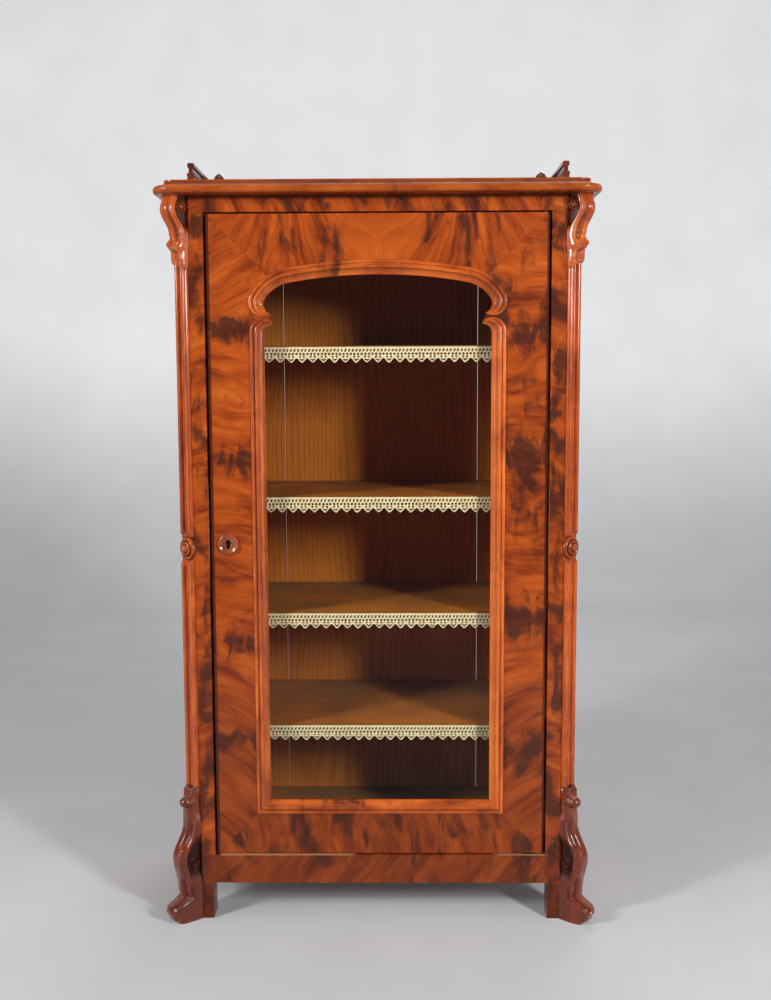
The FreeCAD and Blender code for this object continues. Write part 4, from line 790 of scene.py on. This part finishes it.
def door_leaf(x, y, z):
    side = x.by("ABSOLUTE")
    right = x.by("GREATER_THAN", 0.0)
    in_top = (z - side).by("GREATER_THAN", DOOR_TOP - DOOR_HALF)
    in_foot = (z + side).by("LESS_THAN", DOOR_BOTTOM + DOOR_HALF)
    # Fan over the arch, the two halves turned over like a book.
    top_across = side - (side * FAN_WAVE).by("SINE") * (z - FAN_FOOT) * 0.6
    top_dark = side.along((
        (0.0, 0.0), (0.045, 0.1), (0.075, 0.25), (0.11, 0.5), (0.14, 0.35), (0.165, 0.2),
        (0.2, 0.55), (0.225, 0.25), (0.26, 0.45), (0.29, 0.05), (0.33, 0.1), (0.37, 0.3)))
    # Stiles laid crosswise, each leaf with its own slope and its own feathers.
    left_slope = z.along((
        (0.15, 0.0), (0.45, 0.15), (0.6, 0.4), (0.95, 0.42), (1.2, 0.36),
        (1.33, 0.5), (1.41, 0.75), (1.58, 0.8)))
    right_slope = z.along((
        (0.15, 0.95), (0.45, 0.8), (0.62, 0.55), (0.9, 0.5), (1.1, 0.4),
        (1.25, 0.75), (1.35, 0.5), (1.58, 0.42)))
    slope = (choose(right, left_slope, right_slope) - 0.5) * 2.0
    stile_across = z - slope * (x - (right - 0.5) * (2 * STILE_MIDDLE))
    left_dark = z.along((
        (0.15, 0.1), (0.38, 0.1), (0.42, 0.7), (0.46, 0.05), (0.59, 0.1), (0.64, 0.8),
        (0.7, 0.05), (0.8, 0.2), (0.98, 0.05), (1.04, 0.85), (1.1, 0.05), (1.17, 0.3),
        (1.22, 0.05), (1.28, 0.2), (1.33, 0.95), (1.39, 0.1), (1.45, 0.25), (1.58, 0.1)))
    right_dark = z.along((
        (0.15, 0.1), (0.32, 0.1), (0.39, 0.85), (0.45, 0.1), (0.6, 0.15), (0.69, 0.85),
        (0.77, 0.1), (0.9, 0.3), (0.97, 0.35), (1.04, 0.95), (1.12, 0.3), (1.17, 0.35),
        (1.25, 0.15), (1.34, 0.95), (1.42, 0.25), (1.5, 0.3), (1.58, 0.35)))
    stile_dark = choose(right, left_dark, right_dark)
    # Bottom rail laid upright and darker.
    foot_across = x + (z - 0.2) * 0.25
    across = choose(in_foot, choose(in_top, stile_across, top_across), foot_across)
    along = choose(in_foot, choose(in_top, x, z), z)
    dark = choose(in_foot, choose(in_top, stile_dark, top_dark), x.even(0.45))
    upper_mitre = (z - side).near(DOOR_TOP - DOOR_HALF, 0.0011)
    lower_mitre = (z + side).near(DOOR_BOTTOM + DOOR_HALF, 0.0011)
    seam = upper_mitre.most(lower_mitre)
    # Painted shadow down both edges, where the posts shade the set-back door, the left one wider.
    left_edge_shadow = (x * -1.0).rise(DOOR_HALF - 0.0072, DOOR_HALF - 0.0056)
    right_edge_shadow = x.rise(DOOR_HALF - 0.0050, DOOR_HALF - 0.0036)
    edge_shadow = left_edge_shadow.most(right_edge_shadow) * 0.9
    worn = z.near(DOOR_TOP, 0.0014).most(z.near(DOOR_BOTTOM, 0.0012)) * 0.3
    # Painted shade, darker towards the bottom where less lamp light reaches.
    low_shade = z.rise(0.62, 0.4) * 0.3
    return across, along, dark + seam * 0.35, worn, edge_shadow, low_shade


dress(["door_lock_stile", "door_hinge_stile", "door_top_rail", "door_bottom_rail"],
      mahogany("door_veneer", door_leaf))

# Glass moulding: one piece over the cusped arch, one up each side ending in a curl, one along the bottom.
# Solid mahogany worked to a bead, an ovolo and a cavetto, carved thinner into the cusps, and glued into
# the rebate of the frame.
FRAME_HALF = round(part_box("bottom_glass_moulding")[1].x / MM, 3)
FRAME_BOTTOM, SIGHT_BOTTOM = span("bottom_glass_moulding")
MOULDING_WIDTH = SIGHT_BOTTOM - FRAME_BOTTOM
MOULDING_DEPTH = 11.0
SIGHT_HALF = FRAME_HALF - MOULDING_WIDTH
CROWN = span("arch_moulding")[1]
CROWN_ANGLE = 10.0
SHOULDER_RADIUS = 111.0
SHOULDER_ANGLE = 63.0
INNER_SHOULDER_RADIUS = SHOULDER_RADIUS - MOULDING_WIDTH
INNER_SHOULDER_ANGLE = 55.0
LOBE_RADIUS = 30.0
LOBE_ANGLE = 214.0
LOBE_PAST_FRAME = 2.5
INNER_LOBE_RADIUS = 22.0
INNER_LOBE_ANGLE = 162.0
CURL_RADIUS = 29.5
CURL_START = 90.0
CURL_ANGLE = -42.0
CURL_BELOW_LOBE = 63.0
INNER_CURL_RADIUS = 18.5
INNER_CURL_ANGLE = -6.0
INNER_CURL_DROP = 3.0


def around(centre, radius, degrees):
    """A point of an arc, its angle counted from straight up."""
    turn = math.radians(degrees)
    return (centre[0] + radius * math.sin(turn), centre[1] + radius * math.cos(turn))


lobe_x = FRAME_HALF + LOBE_PAST_FRAME - LOBE_RADIUS
shoulder_x = lobe_x - (SHOULDER_RADIUS - LOBE_RADIUS) * math.sin(math.radians(SHOULDER_ANGLE))
crown_radius = SHOULDER_RADIUS + shoulder_x / math.sin(math.radians(CROWN_ANGLE))
crown_centre = (0.0, CROWN - crown_radius)
shoulder = around(crown_centre, crown_radius - SHOULDER_RADIUS, CROWN_ANGLE)
lobe = around(shoulder, SHOULDER_RADIUS - LOBE_RADIUS, SHOULDER_ANGLE)
inner_lobe = around(shoulder, INNER_SHOULDER_RADIUS - INNER_LOBE_RADIUS, INNER_SHOULDER_ANGLE)
curl = (FRAME_HALF - CURL_RADIUS, lobe[1] - CURL_BELOW_LOBE)
inner_curl = (SIGHT_HALF - INNER_CURL_RADIUS, curl[1] - INNER_CURL_DROP)


def shares(count, first=0):
    return [step / count for step in range(first, count + 1)]


def arc_pairs(outer, inner, parts):
    """Pairs of points along two arcs, each given by its centre, its radius and its end angles."""
    return [tuple(around(centre, radius, start + (end - start) * part)
                  for centre, radius, start, end in (outer, inner)) for part in parts]


half_arch = arc_pairs(
    (crown_centre, crown_radius, 0.0, CROWN_ANGLE),
    (crown_centre, crown_radius - MOULDING_WIDTH, 0.0, CROWN_ANGLE), shares(14))
half_arch += arc_pairs(
    (shoulder, SHOULDER_RADIUS, CROWN_ANGLE, SHOULDER_ANGLE),
    (shoulder, INNER_SHOULDER_RADIUS, CROWN_ANGLE, INNER_SHOULDER_ANGLE), shares(24, 1))
half_arch += arc_pairs(
    (lobe, LOBE_RADIUS, SHOULDER_ANGLE, LOBE_ANGLE),
    (inner_lobe, INNER_LOBE_RADIUS, INNER_SHOULDER_ANGLE, INNER_LOBE_ANGLE), shares(44, 1))
corner = ((FRAME_HALF, FRAME_BOTTOM), (SIGHT_HALF, SIGHT_BOTTOM))
upright = [corner] + arc_pairs(
    (curl, CURL_RADIUS, CURL_START, CURL_ANGLE),
    (inner_curl, INNER_CURL_RADIUS, CURL_START, INNER_CURL_ANGLE), shares(36))


def half_round(middle, half, base, rise):
    """A round rising from one side of a profile to the other."""
    return [(middle - half * math.cos(math.pi * part), base + rise * math.sin(math.pi * part))
            for part in shares(10)]


# Share of the width and height beyond the door face: bead, quirk, ovolo, cavetto and sight fillet.
MOULDING_PROFILE = [(0.0, -MOULDING_DEPTH), (0.0, 0.0)]
MOULDING_PROFILE += half_round(0.125, 0.125, 0.4, 4.0)
MOULDING_PROFILE += [(0.31, 0.2)]
MOULDING_PROFILE += half_round(0.455, 0.135, 0.3, 5.2)
MOULDING_PROFILE += [(0.6 + 0.32 * part, -7.0 * math.sin(math.pi / 2 * part)) for part in shares(10, 1)]
MOULDING_PROFILE += [(0.935, -7.0), (0.94, -6.2), (1.0, -6.6), (1.0, -MOULDING_DEPTH)]


def moulding_loop(outer, inner):
    """Section of the moulding between two points, lower where it runs thin into a cusp."""
    slender = min(1.0, math.dist(outer, inner) / MOULDING_WIDTH)
    loop = []
    for share, proud in MOULDING_PROFILE:
        x = outer[0] + (inner[0] - outer[0]) * share
        z = outer[1] + (inner[1] - outer[1]) * share
        level = proud if proud == -MOULDING_DEPTH else proud * slender
        loop.append((x * MM, DOOR_FACE - level * MM, z * MM))
    return loop


def moulding(name, run, made):
    loops = [moulding_loop(*pair) for pair in run]
    make_piece(f"{name}_run", tube_of(loops), made, "door", name, 40)


def mirrored(run):
    return [tuple((-x, z) for x, z in pair) for pair in run]


MOULDING_TONES = tone_card((104, 40, 14), (160, 68, 22), (194, 90, 29), (220, 110, 40), (240, 138, 62))
# Lighter tones for the right moulding: painted light, where the lamps light it more strongly.
LIT_MOULDING_TONES = tone_card((124, 50, 16), (184, 82, 26), (218, 106, 34), (240, 130, 48), (252, 156, 72))


def upright_leaf(x, y, z):
    return x + y, z, x.even(0.05), x.even(0.0)


def level_leaf(x, y, z):
    return z + y, x, x.even(0.27), x.even(0.0)


upright_moulding = mahogany("upright_moulding", upright_leaf, MOULDING_TONES, 0.24, 0.7)
# Right moulding: a lighter copy of the upright finish, painted as more strongly lit.
lit_moulding_copy = mahogany("lit_moulding_copy", upright_leaf, LIT_MOULDING_TONES, 0.24, 0.7)
level_moulding = mahogany("level_moulding", level_leaf, MOULDING_TONES, 0.24, 0.45)
moulding("arch_moulding", mirrored(half_arch[:0:-1]) + half_arch, level_moulding)
moulding("right_glass_moulding", upright, lit_moulding_copy)
moulding("left_glass_moulding", mirrored(upright), upright_moulding)
moulding("bottom_glass_moulding", mirrored([corner]) + [corner], level_moulding)

# Pane and its battens: one sheet of old blown glass laid in the rebate behind the moulding.
# The glass is clear with a faint waviness and a little dust; the battens are pine, pinned from the back.
GLASS_INDEX = 1.5
SHEEN_SHARE = 0.4
pane, pane_tree, pane_shader, (pane_x, pane_y, pane_z) = new_finish("window_glass")
pane_tree.nodes.remove(pane_shader)
clear = pane_tree.nodes.new("ShaderNodeBsdfTransparent")
clear.inputs[0].default_value = (0.965, 0.98, 0.97, 1.0)
sheen = pane_tree.nodes.new("ShaderNodeBsdfGlossy")
sheen.inputs["Color"].default_value = (1.0, 1.0, 1.0, 1.0)
dusty = cloud(pane_tree, pane_x * 40.0, pane_y, pane_z * 40.0, 4.0, 0.7)
feed(pane_tree, sheen.inputs["Roughness"], dusty.rise(0.45, 0.8) * 0.05 + 0.012)
wave = relief(pane_tree, sheen, cloud(pane_tree, pane_x * 5.0, pane_y, pane_z * 3.0, 1.0), 0.0006)
mirror = pane_tree.nodes.new("ShaderNodeFresnel")
mirror.inputs["IOR"].default_value = GLASS_INDEX
pane_tree.links.new(wave.outputs[0], mirror.inputs["Normal"])
leaving = Grade(pane_tree, pane_tree.nodes.new("ShaderNodeNewGeometry").outputs["Backfacing"])
mirrored_share = Grade(pane_tree, mirror.outputs[0]) * (leaving * -SHEEN_SHARE + SHEEN_SHARE)
both = pane_tree.nodes.new("ShaderNodeMixShader")
feed(pane_tree, both.inputs[0], mirrored_share)
pane_tree.links.new(clear.outputs[0], both.inputs[1])
pane_tree.links.new(sheen.outputs[0], both.inputs[2])
pane_tree.links.new(both.outputs[0], pane_tree.nodes["Material Output"].inputs["Surface"])
dress(["glass_pane"], pane)
dress(["glazing_beads"], upright_pine, 0.0006)

# Lock and hinges: a box lock with a sliding bolt let into the stile, a strike in the post, and two pivot
# hinges. Forged and filed iron gone brown, let in flush; the keyhole has a turned mahogany ring glued
# round it.


def worn_iron(name, bright):
    made, tree, shader, (x, y, z) = new_finish(name)
    rust = cloud(tree, x * 60.0, y * 60.0, z * 60.0, 5.0, 0.65)
    file_marks = cloud(tree, x * 80.0, y * 80.0, z * 1400.0, 2.0)
    tones = tone_card((74, 58, 46), bright, (104, 84, 66), places=(0.3, 0.5, 0.72))
    feed(tree, shader.inputs["Base Color"], tinted(tree, rust + (file_marks - 0.5) * 0.3, tones))
    feed(tree, shader.inputs["Roughness"], rust * 0.3 + file_marks * 0.15 + 0.25)
    relief(tree, shader, file_marks * 0.4 + rust * 0.6, 0.0002)
    shader.inputs["Metallic"].default_value = 1.0
    return made


dress(["lock_case", "strike_plate", "upper_hinge_plate", "lower_hinge_plate", "upper_hinge_leaf",
       "lower_hinge_leaf"], worn_iron("dark_iron", (118, 106, 94)), 0.0003)
dress(["lock_bolt"], worn_iron("bolt_iron", (166, 156, 142)), 0.0006)

KEY_MIDDLE = sum(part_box("escutcheon"), Vector()) / 2 / MM
KEY_HALF = 6.0
SLOT_NARROWER = 1.6
KEY_REACH = 10.0
KEY_CORNER = 2.4
# Radius and height along the turning of the keyhole ring, from its inner edge to its rim.
RING_TURNING = (
    (9.5, 3.2), (11.0, 3.4), (14.5, 4.3), (17.0, 5.6), (18.6, 6.9),
    (20.2, 7.2), (21.8, 6.3), (22.8, 4.4), (23.0, 2.0), (23.0, 0.0))
RING_TONES = tone_card((96, 42, 18), (136, 64, 32), (164, 82, 42), (184, 98, 54), (204, 122, 76))


def key_edge(turn):
    """Distance from the middle of the keyhole to its edge: a round eye over a narrower slot."""
    across, up = math.cos(turn), math.sin(turn)
    wide = KEY_HALF if up > 0 else KEY_HALF - SLOT_NARROWER * min(1.0, -2.0 * up)
    return (abs(across / wide) ** KEY_CORNER + abs(up / KEY_REACH) ** KEY_CORNER) ** (-1 / KEY_CORNER)


def ring_loop(radius_at, out):
    """A loop of the keyhole ring, its radius given for each angle."""
    loop = []
    for turn in circle(72):
        x = KEY_MIDDLE.x + radius_at(turn) * math.cos(turn)
        z = KEY_MIDDLE.z + radius_at(turn) * math.sin(turn)
        loop.append((x * MM, DOOR_FACE - out * MM, z * MM))
    return loop


ring_loops = [ring_loop(key_edge, 0.0), ring_loop(key_edge, 2.6)]
ring_loops.append(ring_loop(lambda turn: key_edge(turn) + 0.6, 3.2))
for radius, out in RING_TURNING:
    ring_loops.append(ring_loop(lambda turn: max(radius, key_edge(turn) + 0.7 + 0.04 * radius), out))
ring_mahogany = mahogany("ring_mahogany", upright_leaf, RING_TONES, 0.25, 0.7)
make_piece("keyhole_ring", tube_of(ring_loops, ring=True), ring_mahogany, "door",
           "escutcheon", 50)

# Lace edgings: one crocheted strip pinned along the front of each shelf and hanging below it.
# Cream cotton: a header, a row of slanted eyelets, two rows of small ones and a border of points.
LACE_HALF = 371.0
LACE_DROP = 34.0
POINTS_ACROSS = 31
LACE_PITCH = 2 * LACE_HALF / POINTS_ACROSS
VALLEY = -23.6
SLANTED_ROW = -7.0
SECOND_ROW = -14.9
THIRD_ROW = -20.9
LOOSENESS = 0.3
# Shares along a point of the border and of its drop, and the eyelet in it, measured from its middle.
POINT_EDGE = (
    (0.0, 0.0), (0.09, 0.1), (0.24, 0.5), (0.40, 0.9), (0.47, 1.0), (0.53, 1.0),
    (0.60, 0.9), (0.76, 0.5), (0.91, 0.1))
POINT_EYELET = (
    (-7.4, -24.4), (-3.0, -24.9), (0.0, -26.4), (3.0, -24.9), (7.4, -24.4),
    (4.2, -27.9), (0.0, -31.3), (-4.2, -27.9))
COTTON_TONES = tone_card((248, 214, 158), (255, 232, 184), (255, 242, 206), places=(0.3, 0.48, 0.68))
lace_cotton, cotton_tree, cotton_shader, (cotton_x, cotton_y, cotton_z) = new_finish("crochet_cotton")
twist = cloud(cotton_tree, cotton_x * 900.0, cotton_y * 900.0, cotton_z * 1300.0, 2.0, 0.6, 0.4)
yellowed = cloud(cotton_tree, cotton_x * 22.0, cotton_y * 20.0, cotton_z * 30.0, 3.0)
cream = tinted(cotton_tree, twist * 0.55 + yellowed * 0.45, COTTON_TONES)
feed(cotton_tree, cotton_shader.inputs["Base Color"], cream)
feed(cotton_tree, cotton_shader.inputs["Roughness"], twist * 0.2 + 0.72)
relief(cotton_tree, cotton_shader, twist, 0.0007)
cotton_shader.inputs["Sheen Weight"].default_value = 0.25
cotton_shader.inputs["Specular IOR Level"].default_value = 0.2


def eyelet(across, up, width, height, slant, corners):
    """Outline of a hole in the lace: a rounded opening, leaning by slant."""
    hole = []
    for angle in circle(corners):
        x = width / 2 * math.cos(angle)
        z = height / 2 * math.sin(angle)
        hole.append((across + x + slant * z, up + z))
    return hole


def lace_outlines():
    """Closed lines of one edging, in millimetres: its pointed outline and every eyelet."""
    yarn = random.Random(7)
    edge = [(-LACE_HALF, 0.0), (LACE_HALF, 0.0)]
    for point in range(POINTS_ACROSS):
        right = LACE_HALF - point * LACE_PITCH
        tip = -LACE_DROP + yarn.uniform(0.0, 1.6)
        sway = yarn.uniform(-0.8, 0.8)
        for share, fall in POINT_EDGE:
            edge.append((right - share * LACE_PITCH + sway * fall, VALLEY + (tip - VALLEY) * fall))
    edge.append((-LACE_HALF, VALLEY))
    lines = [edge]
    third = LACE_PITCH / 3

    def stray():
        return yarn.uniform(-LOOSENESS, LOOSENESS)

    for point in range(POINTS_ACROSS):
        left = -LACE_HALF + point * LACE_PITCH
        for part in range(3):
            middle = left + third * (part + 0.5) + stray()
            if abs(middle) < LACE_HALF - 3:
                lines.append(eyelet(middle, SLANTED_ROW, 5.4, 7.6 + yarn.uniform(-0.5, 0.3), 0.3, 10))
            between = left + third * (part + 1)
            if abs(between) < LACE_HALF - 4:
                lines.append(eyelet(between + stray(), SECOND_ROW, 6.6, 6.4, 0.0, 8))
        middle = left + LACE_PITCH / 2
        for shift in (-1, 1):
            lines.append(eyelet(middle + shift * 4.4 + stray(), THIRD_ROW, 6.2, 4.6, shift * -0.25, 8))
        rise = stray()
        lines.append([(middle + x, z + rise) for x, z in POINT_EYELET])
    return lines


def crochet(name):
    """A flat edging of rounded cotton cord, cut round its eyelets."""
    drawn = bpy.data.curves.new(name, "CURVE")
    drawn.dimensions = "2D"
    drawn.fill_mode = "BOTH"
    drawn.extrude = 0.0002
    drawn.bevel_depth = 0.00035
    drawn.bevel_resolution = 1
    for line in lace_outlines():
        spline = drawn.splines.new("POLY")
        spline.points.add(len(line) - 1)
        for place, (x, z) in zip(spline.points, line):
            place.co = (x * MM, z * MM, 0.0, 1.0)
        spline.use_cyclic_u = True
    holder = placed(f"{name}_drawn", drawn)
    bpy.context.view_layer.update()
    mesh = bpy.data.meshes.new_from_object(holder.evaluated_get(bpy.context.evaluated_depsgraph_get()))
    bpy.data.objects.remove(holder)
    bpy.data.curves.remove(drawn)
    return mesh


LACE_LIFT = 0.0005
RIPPLE = 0.0006
lace_mesh = crochet("lace")
for level in ("upper", "second", "third", "lower"):
    low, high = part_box(f"{level}_lace")
    strip = lace_mesh.copy()
    strip.name = f"{level}_lace_edging"
    for vertex in strip.vertices:
        x, down, out = vertex.co
        ripple = RIPPLE * math.sin(x * 61.0 + high.z * 40) * min(1.0, -down * 40)
        vertex.co = (x, (low.y + high.y) / 2 - out - LACE_LIFT + ripple, high.z + down)
    surface = weld(strip, 0.00001)
    strip.materials.clear()
    strip.materials.append(lace_cotton)
    edging = placed(f"{level}_lace_edging", strip)
    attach(edging, "carcase")
    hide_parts(f"{level}_lace")
    min(surface / 2, 0.742 * 0.034)

# Stage: a plain pale floor that turns up into a backdrop, with soft lamps in front, above and behind and
# two dim cards at the sides. The camera stands a little to the right of the middle, above half height,
# and looks slightly down.
FLOOR_HALF = 9.0
FLOOR_FRONT = -14.0
FLOOR_BACK = 3.2
BACKDROP_BEND = 1.4
BACKDROP_TOP = 7.0
FLOOR_TONES = tone_card((202, 203, 205), (208, 209, 211), places=(0.3, 0.7))
UNSEEN_FLOOR = colour(118, 120, 124)


def sight_of(tree):
    """1 for a ray from the camera, off a gloss or through glass, and 0 for the light on the cupboard."""
    path = tree.nodes.new("ShaderNodeLightPath")
    seen = Grade(tree, path.outputs["Is Camera Ray"])
    for ray in ("Is Glossy Ray", "Is Transmission Ray"):
        seen = seen.most(Grade(tree, path.outputs[ray]))
    return seen


floor_finish, floor_tree, floor_shader, (floor_x, floor_y, floor_z) = new_finish("pale_floor")
faint = cloud(floor_tree, floor_x * 3.0, floor_y * 3.0, floor_z * 3.0, 3.0)
seen_floor = sight_of(floor_tree)
pale = tinted(floor_tree, faint, FLOOR_TONES)
# The floor and backdrop glow for camera, gloss and glass rays, more up the backdrop and far in front:
# painted light that evens out the lamps' fall-off and shadow edge on the stage.
glow = floor_z.rise(0.0, 1.6) * 0.6 + floor_y.rise(0.6, 3.6) * 0.24 + floor_y.rise(-2.6, -5.0) * 0.3 + 0.06
feed(floor_tree, floor_shader.inputs["Base Color"], over(floor_tree, seen_floor, UNSEEN_FLOOR, pale))
feed(floor_tree, floor_shader.inputs["Emission Color"], pale)
feed(floor_tree, floor_shader.inputs["Emission Strength"], seen_floor * glow)
feed(floor_tree, floor_shader.inputs["Roughness"], faint * 0.1 + 0.8)
floor_shader.inputs["Specular IOR Level"].default_value = 0.1
bend = [(FLOOR_FRONT, 0.0), (FLOOR_BACK, 0.0)]
for part in shares(16, 1):
    turn = math.pi / 2 * part
    back, up = BACKDROP_BEND * math.sin(turn), BACKDROP_BEND * (1 - math.cos(turn))
    bend.append((FLOOR_BACK + back, up))
bend.append((FLOOR_BACK + BACKDROP_BEND, BACKDROP_TOP))
sweep = bpy.data.meshes.new("floor_and_backdrop")
sweep.from_pydata(
    [(side * FLOOR_HALF, y, z) for y, z in bend for side in (-1, 1)], [],
    [(2 * step, 2 * step + 1, 2 * step + 3, 2 * step + 2) for step in range(len(bend) - 1)])
sweep.polygons.foreach_set("use_smooth", [True] * len(sweep.polygons))
sweep.materials.append(floor_finish)
backdrop = placed("floor_and_backdrop", sweep)


def soft_lamp(name, place, aim, width, height, power):
    """A soft rectangular lamp, turned towards a point."""
    lamp = bpy.data.lights.new(name, "AREA")
    lamp.shape = "RECTANGLE"
    lamp.size = width
    lamp.size_y = height
    lamp.energy = power
    holder = placed(name, lamp)
    holder.location = place
    holder.rotation_mode = "QUATERNION"
    holder.rotation_quaternion = (Vector(aim) - Vector(place)).to_track_quat("-Z", "Y")


soft_lamp("left_lamp", (-2.8, -2.2, 2.1), (0.0, -0.1, 0.9), 0.45, 1.0, 78)
soft_lamp("right_lamp", (2.2, -2.75, 1.9), (0.0, -0.1, 0.9), 0.4, 0.9, 90)
soft_lamp("top_lamp", (0.0, -0.4, 3.8), (0.0, -0.1, 0.8), 2.4, 1.6, 14)
soft_lamp("left_card", (-3.2, -1.3, 1.1), (0.0, -0.2, 0.9), 1.6, 2.2, 17)
soft_lamp("right_card", (3.2, -1.3, 1.1), (0.0, -0.2, 0.9), 1.6, 2.2, 15)
soft_lamp("back_lamp", (0.6, 2.8, 3.5), (0.0, 0.2, 0.9), 2.0, 1.2, 45)
world = bpy.data.worlds.new("studio")
bpy.context.scene.world = world
world.use_nodes = True
sky = world.node_tree.nodes["Background"]
sky.inputs["Color"].default_value = (1.0, 1.0, 1.0, 1.0)
feed(world.node_tree, sky.inputs["Strength"], sight_of(world.node_tree) * 0.22 + 0.045)

CAMERA_PLACE = (0.0444, FRONT - 2.4697, 1.2202)
CAMERA_YAW = -0.01169
CAMERA_PITCH = math.radians(6.103)
CAMERA_ROLL = math.radians(-0.2323)
level_ahead = Vector((math.sin(CAMERA_YAW), math.cos(CAMERA_YAW), 0.0))
level_right = Vector((math.cos(CAMERA_YAW), -math.sin(CAMERA_YAW), 0.0))
ahead = level_ahead * math.cos(CAMERA_PITCH) - Vector((0.0, 0.0, math.sin(CAMERA_PITCH)))
level_up = level_right.cross(ahead)
tilted_right = level_right * math.cos(CAMERA_ROLL) + level_up * math.sin(CAMERA_ROLL)
tilted_up = level_up * math.cos(CAMERA_ROLL) - level_right * math.sin(CAMERA_ROLL)
stand = Matrix((tilted_right, tilted_up, -ahead)).transposed().to_4x4()
stand.translation = CAMERA_PLACE
lens = bpy.data.cameras.new("camera")
lens.sensor_fit = "AUTO"
lens.sensor_width = 36.0
lens.lens = 40.94
camera = placed("camera", lens)
camera.matrix_world = stand
bpy.context.scene.camera = camera
bpy.context.scene.view_settings.view_transform = "Standard"

bpy.context.view_layer.update()
